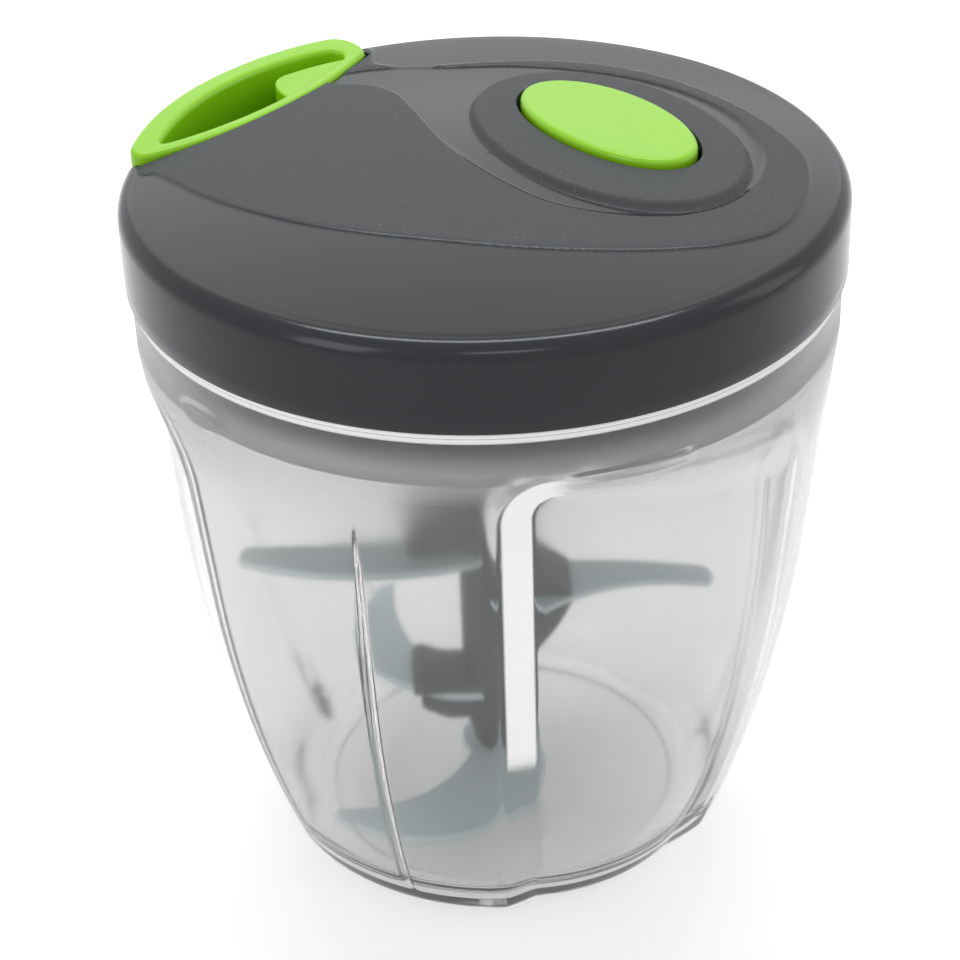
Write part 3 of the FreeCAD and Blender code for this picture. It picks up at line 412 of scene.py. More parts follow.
def makeClearPlastic():
    # clear plastic, frosted a little towards its rim; shadow rays go straight through it, so that light
    # reaches the blades; a point layer marks where a white highlight is painted on the moulded edges
    material, tree, shader = newMaterial("clearPlastic", IOR=1.49, Transmission_Weight=1.0)
    wear = useGroup(tree, wearGroup, cloudScale=30.0, scratchAmount=0.35)
    tint(shader, wear["variation"], (0.725, 0.725, 0.723), (0.77, 0.77, 0.768))
    height = addNode(tree, "SeparateXYZ", Vector=addNode(tree, "TexCoord")["Object"])["Z"]
    feed(shader, "Roughness", spread(tree, height, 0.092, 0.116, 0.07, 0.32, soft=True))
    raiseBump(shader, wear["variation"], 0.0003, 0.12)
    paintedHighlight = addNode(tree, "Attribute", {"attribute_name": "paintedEdgeHighlight"})["Fac"]
    side = addNode(tree, "NewGeometry")["Backfacing"]
    # front faces take most of the painted highlight, back faces far less
    paintedHighlightShare = combine(tree, "MULTIPLY", paintedHighlight, spread(tree, side, first=0.92, last=0.2))
    # painted highlight: white with a faint glow of its own, laid on those edges in place of real light
    white = addNode(tree, "BsdfDiffuse", Color=(0.9, 0.9, 0.9, 1))
    paintedGlow = addNode(tree, "Emission", Color=(1, 1, 1, 1), Strength=0.28)
    paintedHighlightShader = addNode(tree, "AddShader", i0=white[0], i1=paintedGlow[0])
    # a faint haze under the rim
    rise = spread(tree, height, 0.108, 0.1145, 0.02, 0.22, soft=True)
    fall = spread(tree, height, 0.1150, 0.1205, 1.0, 0.05, soft=True)
    dull = addNode(tree, "BsdfDiffuse", Color=(0.85, 0.85, 0.85, 1))
    hazed = mixShaders(tree, combine(tree, "MULTIPLY", rise, fall), shader.outputs, dull)
    withPaintedHighlight = mixShaders(tree, paintedHighlightShare, hazed, paintedHighlightShader)
    through = addNode(tree, "BsdfTransparent", Color=(0.86, 0.87, 0.87, 1))
    shadow = addNode(tree, "LightPath")["Is Shadow Ray"]
    surface = mixShaders(tree, shadow, withPaintedHighlight, through)
    tree.links.new(surface[0], tree.nodes["Material Output"].inputs["Surface"])
    return material


def makeLidPlastic():
    # gloss charcoal with a grained band; bandDepth is the distance into the band, in millimetres
    material, tree, shader = newMaterial("lidCharcoal", Specular_IOR_Level=0.27,
                                         Specular_Tint=(0.90, 0.96, 1.0, 1))
    wear = useGroup(tree, wearGroup, cloudScale=45.0, scratchAmount=0.4)
    grain = useGroup(tree, sparkGroup, grainScale=1900.0, coarseness=0.35)
    depth = addNode(tree, "Attribute", {"attribute_name": "bandDepth"})["Fac"]
    band = spread(tree, depth, -0.1, 0.25)
    gloss = mixColours(tree, wear["variation"], (0.020, 0.021, 0.024), (0.027, 0.028, 0.031))
    matte = mixColours(tree, grain["fleck"], (0.060, 0.064, 0.067), (0.13, 0.13, 0.13))
    tint(shader, band, gloss, matte)
    roughen(shader, band, 0.16, 0.62)
    raiseBump(shader, combine(tree, "MULTIPLY", band, grain["height"]), 0.00012, 0.6, 0.0004)
    return material


def makeLimePlastic():
    material, tree, shader = newMaterial(
        "limePlastic", Coat_Weight=0.1, Coat_Roughness=0.25, Specular_IOR_Level=0.35,
        Subsurface_Weight=0.12, Subsurface_Radius=(0.6, 1.0, 0.2), Subsurface_Scale=0.0015)
    wear = useGroup(tree, wearGroup, cloudScale=60.0, scratchAmount=0.5)
    tint(shader, wear["variation"], (0.25, 0.60, 0.004), (0.30, 0.665, 0.012))
    roughen(shader, wear["variation"], 0.26, 0.36)
    raiseBump(shader, wear["gloss"], 0.00002, 0.3)
    return material


def makeCordFibre():
    material, tree, shader = newMaterial("whiteCord", Roughness=0.85, Sheen_Weight=0.3)
    braid = useGroup(tree, braidGroup, strandScale=420.0)["height"]
    # darker in the low parts between the strands: painted shade in the braid's grooves
    tint(shader, braid, (0.42, 0.42, 0.40), (0.72, 0.72, 0.69))
    raiseBump(shader, braid, 0.0002, 0.7)
    return material


finishes = {
    "clear": makeClearPlastic(),
    "lid": makeLidPlastic(),
    "inner": plainPlastic("innerCharcoal", (0.022, 0.023, 0.025), (0.03, 0.031, 0.033), 0.28, 0.42),
    "lime": makeLimePlastic(),
    "seal": plainPlastic("softSeal", (0.02, 0.02, 0.021), (0.032, 0.032, 0.033), 0.62, 0.78),
    "screw": plainSteel("platedScrews", (0.50, 0.51, 0.52), (0.62, 0.63, 0.64), 0.2, 0.32),
    "pin": plainSteel("groundPins", (0.46, 0.47, 0.48), (0.6, 0.61, 0.62), 0.22, 0.36),
    "spring": plainSteel("rolledSpring", (0.30, 0.31, 0.33), (0.42, 0.43, 0.45), 0.25, 0.4),
    "blade": plainSteel("bladeSteel", (0.53, 0.64, 0.655), (0.65, 0.75, 0.77), 0.5, 0.62, lineTurn=0.4,
                        metallic=0.35),
    "spindle": plainPlastic("spindleGrey", (0.034, 0.036, 0.036), (0.046, 0.048, 0.048), 0.45, 0.58),
    "nylon": plainPlastic("whiteNylon", (0.66, 0.66, 0.63), (0.74, 0.74, 0.71), 0.4, 0.55),
    "cord": makeCordFibre(),
}
print("finishes made")


def finish(piece, kind, body, replaced):
    piece.data.materials.append(finishes[kind])
    if body:
        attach(piece, body)
    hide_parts(replaced)


# camera, light and floor
view = {
    "place": (0, -0.4176, 0.3349), "target": (0, 0, 0.0742), "lens": 93.75, "sensor": 36,
    "roll": -1.78, "shift": (-0.01375, -0.0035),
}
softboxes = {
    # place, target, size, power
    "overhead": ((0, 0.52, 1.5), (0, 0, 0.1), (1.1, 0.22), 10.0),
    "frontLeft": ((-1.1, -1.0, 0.9), (0, 0, 0.1), (0.6, 0.9), 4.8),
    "right": ((1.3, 0.1, 0.7), (0, 0, 0.1), (0.5, 0.9), 1.7),
    "front": ((0.1, -1.1, 1.25), (0, 0, 0.1), (0.5, 0.16), 1.6),
    "behind": ((0, 1.5, 1.0), (0, 0, 0.12), (2.0, 0.9), 3.6),
}


def aimObject(thing, place, target, roll=0.0):
    thing.location = place
    thing.rotation_mode = "QUATERNION"
    aim = (Vector(target) - Vector(place)).to_track_quat("-Z", "Y")
    thing.rotation_quaternion = aim @ Quaternion((0, 0, 1), math.radians(roll))


def makeCamera():
    data = bpy.data.cameras.new("camera")
    data.lens, data.sensor_width = view["lens"], view["sensor"]
    data.shift_x, data.shift_y = view["shift"]
    data.clip_start = 0.01
    camera = addObject("camera", data)
    aimObject(camera, view["place"], view["target"], view["roll"])
    bpy.context.scene.camera = camera


def makeLights():
    for name, (place, target, size, power) in softboxes.items():
        data = bpy.data.lights.new(name, "AREA")
        data.shape, data.size, data.size_y, data.energy = "RECTANGLE", *size, power
        aimObject(addObject(name, data), place, target)


def seenDirectly(tree):
    # 1 for rays that show the background: from the camera, from gloss and through glass
    rays = addNode(tree, "LightPath")
    first = combine(tree, "MAXIMUM", rays["Is Camera Ray"], rays["Is Glossy Ray"])
    return combine(tree, "MAXIMUM", first, rays["Is Transmission Ray"])


def makeSurroundings():
    world = bpy.data.worlds.new("studio")
    world.use_nodes = True
    bpy.context.scene.world = world
    tree, sky = world.node_tree, world.node_tree.nodes["Background"].inputs
    sky["Color"].default_value = (1, 1, 1, 1)
    tree.links.new(spread(tree, seenDirectly(tree), first=0.5), sky["Strength"])

    span, drop = 3.0, 0.0002  # the floor lies a little lower than the foot
    mesh = bpy.data.meshes.new("floor")
    corners = [(-span, -span, 0), (span, -span, 0), (span, span, 0), (-span, span, 0)]
    mesh.from_pydata(corners, [], [(0, 1, 2, 3)])
    floor = addObject("floor", mesh)
    floor.location.z = -drop
    material, tree, shader = newMaterial("paleFloor", Roughness=0.9, Specular_IOR_Level=0.1,
                                         Emission_Color=(1, 1, 1, 1))
    clouds = addNode(tree, "TexNoise", Scale=3.0)
    tint(shader, clouds[0], (0.80, 0.80, 0.80), (0.82, 0.82, 0.82))
    feed(shader, "Emission Strength", spread(tree, seenDirectly(tree), last=0.42))
    mesh.materials.append(material)


makeCamera()
makeLights()
makeSurroundings()
bpy.context.scene.view_settings.view_transform = "Standard"
print("camera, lights and floor made")


# bowl: a swept wall that flares to an upright collar, with three set-back grip panels, ribs and lugs
bowl = {
    "height": 123.6, "baseRadius": 44.8, "rimRadius": 61.6, "sweep": 266.0, "wall": 2.2, "floor": 3.6,
    "floorFillet": 7.0, "baseFillet": 4.4, "footRadius": 35.8, "footDepth": 1.0,
    "collarRadius": 66.0, "collarLow": 112.0, "flareLow": 70.0, "flangeLow": 121.6,
    "neckRadius": 61.6, "neckInner": 59.4, "neckTop": 129.0,
    "panelFirst": -59.9, "panelHalf": 29.8, "panelDepth": 1.3, "panelLow": 1.8, "panelTop": 110.3,
    "panelFall": 10.5, "panelCorner": 11.0, "leftSlope": 6.2, "rightSlope": 9.5, "middleShare": 0.3,
    # the last two bound the painted highlight band, round the panel and up the wall
    "pressTop": 26, "paintedHighlightSide": -17, "paintedHighlightLow": 45.5,
    "ribFirst": -112.3, "ribLean": 2.8, "ribTop": 102.5, "ribHeight": 1.0, "ribHalf": (0.8, 1.5),
    "lugReach": 1.8, "lugHalf": 7.0, "lugLow": 126.6, "lugTop": 128.6, "bossRadius": 4.4, "bossTop": 6.0,
    # heights of the rings up the wall, finer where the panels' corners and the marks are
    "outerFine": 91.0, "marksTop": 119.0, "innerFirst": 112.4, "innerFine": 96.0,
}
marks = {
    # on the collar: angle, height, half angle, half height, how far it stands out, soft edge up and round
    "longLug": (-68.9, 113.3, 9.5, 1.2, 0.8, 0.4, 0.7),
    "leftTick": (-127.6, 114.8, 0.35, 2.0, 0.5, 0.6, 1.0),
    "rightTick": (-121.3, 114.8, 0.35, 2.0, 0.5, 0.6, 1.0),
}
roundLug = (-139.7, 115.4, 5.4, 2.3, 1.0)  # the same without the soft edges


def wallLine(z, inset=0.0):
    # radius of the swept wall at a height
    base, rim, high, sweep = (bowl[key] for key in ("baseRadius", "rimRadius", "flangeLow", "sweep"))
    chord = math.hypot(rim - base, high)
    away = math.sqrt(sweep ** 2 - chord ** 2 / 4)
    across = (rim + base) / 2 - away * high / chord
    up = high / 2 + away * (rim - base) / chord
    return across + np.sqrt((sweep - inset) ** 2 - (z - up) ** 2)


def wallAngles():
    # even steps round the bowl in degrees, with finer ones over the panels' sides and the ribs
    steps = [np.arange(0, 360, 1.0)]
    for turn in (0, 120, 240):
        middle, rib = bowl["panelFirst"] + turn, bowl["ribFirst"] + turn
        left, right = middle - bowl["panelHalf"], middle + bowl["panelHalf"]
        steps += [np.arange(left - 0.6, left + 7, 0.25), np.arange(right - 10.5, right + 0.6, 0.5),
                  np.arange(rib - bowl["ribLean"] - 2.2, rib + 2.2, 0.25)]
    return np.unique(np.round(np.concatenate(steps) % 360, 2))


def panelShape(z, degrees, wider=0.0, soft=0.08):
    # 0 outside the panels to 1 on their faces, how much of the depth each place takes, and the side
    offset = (degrees - bowl["panelFirst"] + 60) % 120 - 60
    side = np.radians(bowl["panelHalf"] - np.abs(offset)) * wallLine(z) + wider
    top = bowl["panelTop"] - bowl["panelFall"] * offset / (2 * bowl["panelHalf"]) - z + wider
    corner = bowl["panelCorner"]
    rounded = corner - np.hypot(corner - np.minimum(side, corner), corner - np.minimum(top, corner))
    inward = np.where((side < corner) & (top < corner), rounded, np.minimum(side, top))
    right = smooth((offset + 12) / 24)
    slope = bowl["leftSlope"] * (1 - right) + bowl["rightSlope"] * right
    share = -softMin(-softMin(inward / slope, 1.0, soft), 0.0, soft)
    middle = bowl["middleShare"]
    return share, middle + (1 - middle) * (offset / bowl["panelHalf"]) ** 2, offset


def ribShape(z, degrees):
    # across a rib from -1 to 1 at its feet, and its height
    offset = (degrees - bowl["ribFirst"] + 60) % 120 - 60
    down = bowl["ribTop"] - z
    across = np.radians(offset + bowl["ribLean"] * down / bowl["ribTop"]) * wallLine(z)
    thin, wide = bowl["ribHalf"]
    half = (thin + (wide - thin) * smooth((down - 8) / 35)) * np.clip(down / 9, 0, 1) + 0.01
    return across / half, bowl["ribHeight"] * np.clip(down / 6, 0, 1)


def flareAt(z):
    # how far the wall has flared out at a height
    rise = np.clip((z - bowl["flareLow"]) / (bowl["collarLow"] - bowl["flareLow"]), 0, 1)
    return (bowl["collarRadius"] - wallLine(bowl["collarLow"])) * rise ** 2


def panelPress(z, portion):
    # the panels lie deeper towards the base
    return bowl["panelDepth"] * portion + bowl["panelLow"] * smooth(1 - z / bowl["pressTop"])


def outerWall(z, degrees):
    # the wall's outer radius, and how much painted highlight its edges get
    plain = wallLine(z)
    full = plain + flareAt(z) if z < bowl["collarLow"] else bowl["collarRadius"]
    share, portion, offset = panelShape(z, degrees)
    radius = full - share * (full - plain + panelPress(z, portion)) + wallMarks(z, degrees)
    # painted highlight: a light band on the panels' left sides
    paintedBandOnSide = smooth((share - 0.06) / 0.1) * smooth((0.99 - share) / 0.04)
    return radius, (paintedBandOnSide * smooth((bowl["paintedHighlightSide"] - offset) / 5)
                    * smooth((z - bowl["paintedHighlightLow"]) / 4))


def innerWall(z, degrees):
    share, portion = panelShape(z, degrees, 1.4, 0.3)[:2]
    across, height = ribShape(z, degrees)
    ridge = smooth(1 - np.abs(across))
    full = wallLine(z, bowl["wall"]) + flareAt(z)
    radius = full - share * (flareAt(z) + panelPress(z, portion)) - height * ridge
    # the second value paints a highlight along the ribs
    return radius, 0.8 * smooth((1.1 - np.abs(across)) / 0.5) * (height > 0.1)


def wallMarks(z, degrees):
    # what the small moulded marks add to the collar's radius
    turn = (degrees + 180) % 360 - 180
    angle, height, halfAngle, halfHeight, reach = roundLug
    away = np.hypot((turn - angle) / halfAngle, (z - height) / halfHeight)
    total = reach * smooth((1.05 - away) / 0.25)
    for angle, height, halfAngle, halfHeight, reach, upEdge, roundEdge in marks.values():
        total += reach * softBox(z - height, halfHeight, upEdge) * softBox(turn - angle, halfAngle, roundEdge)
    return total


def makeBowl():
    degrees = wallAngles()
    angles = np.radians(degrees)
    # each row: radius, height and the share of painted highlight on its points
    rows = []

    def addPlain(*pairs):
        rows.extend((radius, z, 0.0) for radius, z in pairs)

    def addWall(wall, z, inset=0.0, paintedHighlight=None):
        radius, wallPaintedHighlight = wall(z, degrees)
        rows.append((radius - inset, z, wallPaintedHighlight if paintedHighlight is None else paintedHighlight))

    # foot and outside
    foot, depth, fillet = bowl["footRadius"], bowl["footDepth"], bowl["baseFillet"]
    addPlain(*((radius, depth) for radius in (2, 12, 24, foot - 3, foot - 0.5, foot - 0.1)))
    addPlain((foot, depth - 0.15), (foot + 0.15, 0.1), (foot + 0.4, 0.0))
    for turn in np.linspace(0, pi / 2, 9):
        addWall(outerWall, fillet * (1 - math.cos(turn)), fillet * (1 - math.sin(turn)), 0.0)
    fine, collar = bowl["outerFine"], bowl["collarLow"]
    for z in [*np.linspace(fillet, fine - 1, 34)[1:], *np.arange(fine, collar, 0.5),
              *np.arange(collar + 0.1, bowl["marksTop"], 0.2), bowl["marksTop"] + 1]:
        addWall(outerWall, z)
    # rim, neck and lugs
    rim, neck, top = bowl["collarRadius"], bowl["neckRadius"], bowl["height"]
    # painted highlight: light lines round the rim's edges
    rows += [(rim, top - 2.1, 0.0), (rim, top - 1.8, 0.8), (rim, top - 1.1, 0.9),
             (rim - 0.05, top - 1.0, 0.15), (rim, top - 0.9, 0.9), (rim, top - 0.3, 0.9),
             (rim - 0.1, top - 0.1, 0.5)]
    low, high = bowl["lugLow"], bowl["lugTop"]
    addPlain((rim - 0.4, top), (neck + 0.5, top), (neck + 0.1, top + 0.15), (neck, top + 0.5),
             (neck, low - 0.05))
    lugs = bowl["lugReach"] * softBox(degrees % 90 - 45, bowl["lugHalf"], 0.9)
    addPlain((neck + lugs * 0.85, low), (neck + lugs, low + 0.2), (neck + lugs, high - 0.2),
             (neck + lugs * 0.85, high), (neck, high + 0.05))
    inside, top = bowl["neckInner"], bowl["neckTop"]
    addPlain((neck - 0.1, top - 0.15), (neck - 0.4, top), (inside + 0.4, top), (inside + 0.1, top - 0.15),
             (inside, top - 0.4), (inside, top - 4), (inside, bowl["flangeLow"]))
    # inside
    first, fine = bowl["innerFirst"], bowl["innerFine"]
    addPlain((inside, first + 1.8), (inside + 0.3, first + 1.4), (inside + 2.6, first + 0.9))
    floor, fillet = bowl["floor"], bowl["floorFillet"]
    for z in [*np.arange(first, fine, -0.6), *np.linspace(fine - 0.5, floor + fillet, 34)]:
        addWall(innerWall, z)
    # painted highlight: a light ring on the upper part of the floor's fillet
    for i, turn in enumerate(np.linspace(0, pi / 2, 9)[1:], 1):
        addWall(innerWall, floor + fillet - fillet * math.sin(turn), fillet * (1 - math.cos(turn)),
                0.36 if 5 < i < 8 else 0.0)
    addWall(innerWall, floor, fillet + 0.8, 0.0)
    boss, top = bowl["bossRadius"], bowl["bossTop"]
    addPlain((27, floor), (18, floor), (10, floor), (boss + 1.0, floor), (boss + 0.3, floor + 0.3),
             (boss, floor + 1.0), (boss, top - 0.5), (boss - 0.15, top - 0.15), (boss - 0.5, top), (2, top))
    piece = ringMesh("bowlBody", [ringAt(angles, radius, z) for radius, z, paintedHighlight in rows], 60)
    paintedHighlights = [np.broadcast_to(paintedHighlight, angles.shape) for radius, z, paintedHighlight in rows]
    writeLayer(piece, "paintedEdgeHighlight", np.append(np.concatenate(paintedHighlights), (0.0, 0.0)))
    finish(piece, "clear", "bowl", "bowl")


makeBowl()
print("bowl made")


# lid: domed shell, raised oval round the button, grained band, pocket for the pull handle
lid = {
    "around": 512, "low": 123.8, "radius": 67.0, "corner": 3.6, "sideTop": 136.8, "ring": 63.4,
    "domeTop": 144.1, "domeRadius": 551.0, "wall": 2.2,
    "discCentre": (23.1, 6.8), "discLong": 33.4, "discShort": 22.6, "discTilt": -60.0,
    "discRise": 1.2, "discBevel": 1.7, "bandRise": 0.34, "bandEdge": 0.7, "channelDrop": 0.25,
    "holeCentre": (23.2, 9.4), "holeLong": 22.9, "holeShort": 12.5, "tilt": -55.0,
    "bandOuter": [
        (-64, 5), (-60.4, 1.6), (-56.1, -3.4), (-51.4, -9.2), (-44.3, -15.9), (-37, -21.3), (-30, -25.4),
        (-20, -29.7), (-11.5, -32.3), (-1.3, -35), (10.2, -37.1), (25.1, -37.7), (36.8, -36.2),
        (45.1, -33.3), (50.8, -29.2), (55.3, -21.4), (58.2, -10.6), (58.4, 0.8), (53.9, 13.2), (47.8, 23.4),
        (40.1, 32.6), (32.7, 38.8), (24, 43.4), (14, 45.8), (4, 46.0), (-4.3, 45.3), (-13, 44.6),
        (-17.7, 46), (-21.5, 49.5), (-24, 60), (-45, 60), (-60, 35)],
    "channel": [
        (-32, 42), (-28.6, 37.8), (-21.6, 35.2), (-17.0, 30.6), (-14.2, 24), (-9, 8.6), (-5.9, 1.5),
        (-0.5, -7.9), (6.5, -16.9), (12.7, -22.1), (20.6, -25.3), (28.5, -26.4), (36, -25.2), (43.5, -20.3),
        (48.8, -12), (51.4, -1.5), (50.3, 9.3), (46.2, 19.5), (39, 28.8), (29, 36.6), (18, 41.2), (6, 43.8),
        (-6, 44.2), (-20, 45.5)],
    # screw posts: radius of their ring, first angle, count and lower end
    "posts": [(47.0, 10.0, 4, 115.6), (33.0, 80.0, 3, 120.2)], "postRadius": 3.2, "postBore": 1.25,
    "centrePost": [(1, 115.8), (3.8, 115.8), (4, 116.0), (4, 143.0), (1, 143.0)],
}


def domeHeight(x, y):
    return lid["domeTop"] - lid["domeRadius"] + np.sqrt(lid["domeRadius"] ** 2 - x ** 2 - y ** 2)


def discDepth(x, y):
    # about the distance inside the raised oval
    tilt = math.radians(lid["discTilt"])
    u, v = x - lid["discCentre"][0], y - lid["discCentre"][1]
    s = u * math.cos(tilt) + v * math.sin(tilt)
    t = -u * math.sin(tilt) + v * math.cos(tilt)
    reach = np.maximum(np.hypot(s / lid["discLong"], t / lid["discShort"]), 1e-6)
    return np.hypot(s, t) * (1 / reach - 1)


def ovalLoop(centre, long, short, grow=0.0):
    tilt = math.radians(lid["tilt"])
    turn = evenAngles(144)
    s, t = (long + grow) * np.cos(turn), (short + grow) * np.sin(turn)
    return np.stack([centre[0] + s * math.cos(tilt) - t * math.sin(tilt),
                     centre[1] + s * math.sin(tilt) + t * math.cos(tilt)], 1)


def lidRelief(x, y):
    # height of the lid's relief over the dome, and the depth into the grained areas
    points = np.stack([x, y], 1)
    band = edgeDistance(points, roundLoop(lid["bandOuter"]))
    channel = edgeDistance(points, roundLoop(lid["channel"]))
    disc = discDepth(x, y)
    edge = lid["bandEdge"]
    onBand = smooth((band + edge / 2) / edge) * (1 - smooth((channel + edge / 2) / edge))
    inChannel = smooth((channel + 0.2) / (2 * edge))
    onDisc = smooth(disc / lid["discBevel"])
    height = lid["bandRise"] * onBand - lid["channelDrop"] * inChannel
    height = height * (1 - onDisc) + lid["discRise"] * onDisc
    grained = np.maximum(np.minimum(band, -channel), disc - 0.1)
    return height, grained


pull = {
    # in the handle's own frame: X along the pull, Y across it
    "angle": 140.0, "rim": 66.4, "bow": 94.0, "bowCentre": (140.9, 4.2), "tail": -28.0, "tip": 35.9,
    "low": 131.8, "top": 142.3, "gap": 0.4, "band": 4.9, "strip": 3.0, "end": 5.5, "openTip": 29.1,
    "edge": 1.0, "lift": 1.2, "liftFrom": 50, "liftOver": 15, "webRim": 58.3, "webStart": -4.5,
    "webDrop": 0.8, "pocketTop": 131.6,
    # the pocket's floor with its walls, and the walls' upper part: radius of the rim, low and high end
    "pocketBlocks": [("pocketLow", 65.7, 129.7, 138.4), ("pocketHigh", 61.9, 138.0, 140.2)],
}
pullTurn = Matrix.Rotation(math.radians(pull["angle"]), 4, "Z")


def endCap(start, startWay, end, endWay, reach):
    # a smooth end between two sides that reaches a given distance across the pull
    handle = (reach - (start[1] + end[1]) / 2) * 8 / 3 / (startWay[1] + endWay[1])
    return cubicLine(start, start + handle * startWay, end + handle * endWay, end)


def sideArc(centre, radius, first, last, count, behind=False):
    # an arc between two places across the pull, ahead of its centre or behind it
    turn = [math.asin((y - centre[1]) / radius) for y in (first, last)]
    return arcPoints(centre, radius, *(pi - a if behind else a for a in turn), count)


def lensLoop(rim, bow, tail, tip, tailCap, tipCap):
    # the lens between the rim's circle and the bow's circle, counter-clockwise from its tail
    centre = np.array(pull["bowCentre"])
    low, high = tail + tailCap, tip - tipCap
    rimSide = sideArc((0, 0), rim, low, high, 44)
    bowSide = sideArc(centre, bow, high, low, 44, True)

    def along(point, middle):
        return unit(np.array([-(point[1] - middle[1]), point[0] - middle[0]]))

    tipEnd = endCap(rimSide[-1], along(rimSide[-1], (0, 0)), bowSide[0], -along(bowSide[0], centre), tip)
    tailEnd = endCap(bowSide[-1], along(bowSide[-1], centre), rimSide[0], -along(rimSide[0], (0, 0)), tail)
    return np.concatenate([rimSide, tipEnd, bowSide, tailEnd])


def pocketLoop(rim, grow, cap):
    # the pull's outline, grown on every side but the rim's
    return lensLoop(rim, pull["bow"] + grow, pull["tail"] - grow, pull["tip"] + grow, cap, cap)


def pocketCutter():
    loop = pocketLoop(90, pull["gap"], 0.8)
    return plateMesh("pocketCutter", loop, pull["pocketTop"], 160, 0.02, place=pullTurn)


def shoulderRows(radius, count):
    # the shoulder's quarter circle, from the side up
    return [(lid["ring"] + radius * math.cos(turn), lid["sideTop"] + radius * math.sin(turn))
            for turn in np.linspace(0, pi / 2, count)]


def makeLidShell():
    wall, radius, low = lid["wall"], lid["radius"], lid["low"]
    # inside, from the middle out and down
    rows = [(r, domeHeight(r, 0) - wall) for r in (2, 15, 30, 45, 56, 61)]
    rows += shoulderRows(radius - lid["ring"] - wall, 7)[::-1]
    inner = radius - wall
    rows += [(inner, 130), (inner, low + 0.3), (inner + 0.3, low), (radius - 0.5, low)]
    # outside, up and in to the middle
    rows += [(radius - 0.15, low + 0.15), (radius, low + 0.5), (radius, 127), (radius, 131), (radius, 134)]
    rows += shoulderRows(lid["corner"], 15)
    angles = evenAngles(lid["around"])
    for r in [*np.arange(lid["ring"] - 0.5, 1.0, -0.62), 0.5]:
        x, y = r * np.cos(angles), r * np.sin(angles)
        rows.append((r, domeHeight(x, y) + lidRelief(x, y)[0]))
    shell = turnedMesh("lidShell", rows, lid["around"], sharpAngle=60)
    cutAway(shell, pocketCutter())
    hole = ovalLoop(lid["holeCentre"], lid["holeLong"], lid["holeShort"])
    cutAway(shell, plateMesh("holeCutter", hole, 130, 160, 0.02))
    return shell


def makePocket():
    # floor and walls of the handle's pocket, hung under the shell
    parts = []
    for name, rim, low, high in pull["pocketBlocks"]:
        loop = pocketLoop(rim, pull["gap"] + lid["wall"], 1.2)
        parts.append(plateMesh(name, loop, low, high, 0.05, place=pullTurn))
        cutAway(parts[-1], pocketCutter())
    return parts


def markBand(piece):
    # writes the depth into the grained areas on the lid's points
    points = np.zeros(len(piece.data.vertices) * 3)
    piece.data.vertices.foreach_get("co", points)
    x, y, z = points.reshape(-1, 3).T / mm
    depth = np.clip(lidRelief(x, y)[1], -3, 3)
    depth[z < domeHeight(x, y) - 0.6] = -3
    writeLayer(piece, "bandDepth", depth)


def makeLid():
    posts = []
    bore, radius = lid["postBore"], lid["postRadius"]
    for ring, first, count, low in lid["posts"]:
        for i in range(count):
            centre = polar(ring, first + 360 / count * i)
            top = domeHeight(*centre) - 1.0
            profile = [(bore, low), (radius - 0.2, low), (radius, low + 0.2), (radius, top), (1, top)]
            posts.append(turnedMesh("post", profile, 32, centre))
    posts.append(turnedMesh("post", lid["centrePost"], 48))
    cover = joinPieces("lidCover", [makeLidShell()] + makePocket() + posts)
    markBand(cover)
    finish(cover, "lid", "lid", "lid_cover")


makeLid()
print("lid made")


# pull handle: a lens-shaped frame with a lower web that holds the cord
def makeHandle():
    outline = lensLoop(pull["rim"], pull["bow"], pull["tail"], pull["tip"], 3.4, 2.2)
    opening = lensLoop(pull["rim"] - pull["band"], pull["bow"] - pull["strip"], pull["tail"] + pull["end"],
                       pull["openTip"], 1.6, 1.2)
    low, top = pull["low"], pull["top"]
    body = plateMesh("handleFrame", outline, low, top, pull["edge"], [opening], place=pullTurn)
    # web: from the bow to the slit, with a rounded end
    start, tail = pull["webStart"], pull["tail"] + 2.6
    rimSide = sideArc((0, 0), pull["webRim"], tail, start - 3.5, 24)
    bowSide = sideArc(pull["bowCentre"], pull["bow"] - 1.6, start + 3.3, tail, 24, True)
    end = cubicLine(rimSide[-1], rimSide[-1] + (0.2, 3.6), bowSide[0] + (6.0, -1.0), bowSide[0])
    loop = np.concatenate([rimSide, end, bowSide])
    web = plateMesh("handleWeb", loop, low + 0.4, top - pull["webDrop"], 0.5, place=pullTurn)
    handle = joinPieces("pullHandle", [body, web])
    # the top rises a little towards the outside
    way = polar(1, pull["angle"])
    for point in handle.data.vertices:
        along = (point.co.x * way[0] + point.co.y * way[1]) / mm
        height = (point.co.z / mm - low) / (top - low)
        rise = smooth((along - pull["liftFrom"]) / pull["liftOver"]) * max(0.0, height) ** 2
        point.co.z += pull["lift"] * mm * rise
    finish(handle, "lime", "handle", "pull_handle")


makeHandle()
print("handle made")


# button: an oval cap that follows the dome's slope, on its stem
button = {
    "centre": (23.2, 9.4), "long": 21.9, "short": 11.8, "rise": 2.5, "low": 141.3, "edge": 1.1, "dish": 0.1,
    "stem": (26.8, 10.9), "stemRadius": 2.0, "stemLow": 113.6, "tipRadius": 1.2, "tipLow": 111.6,
}


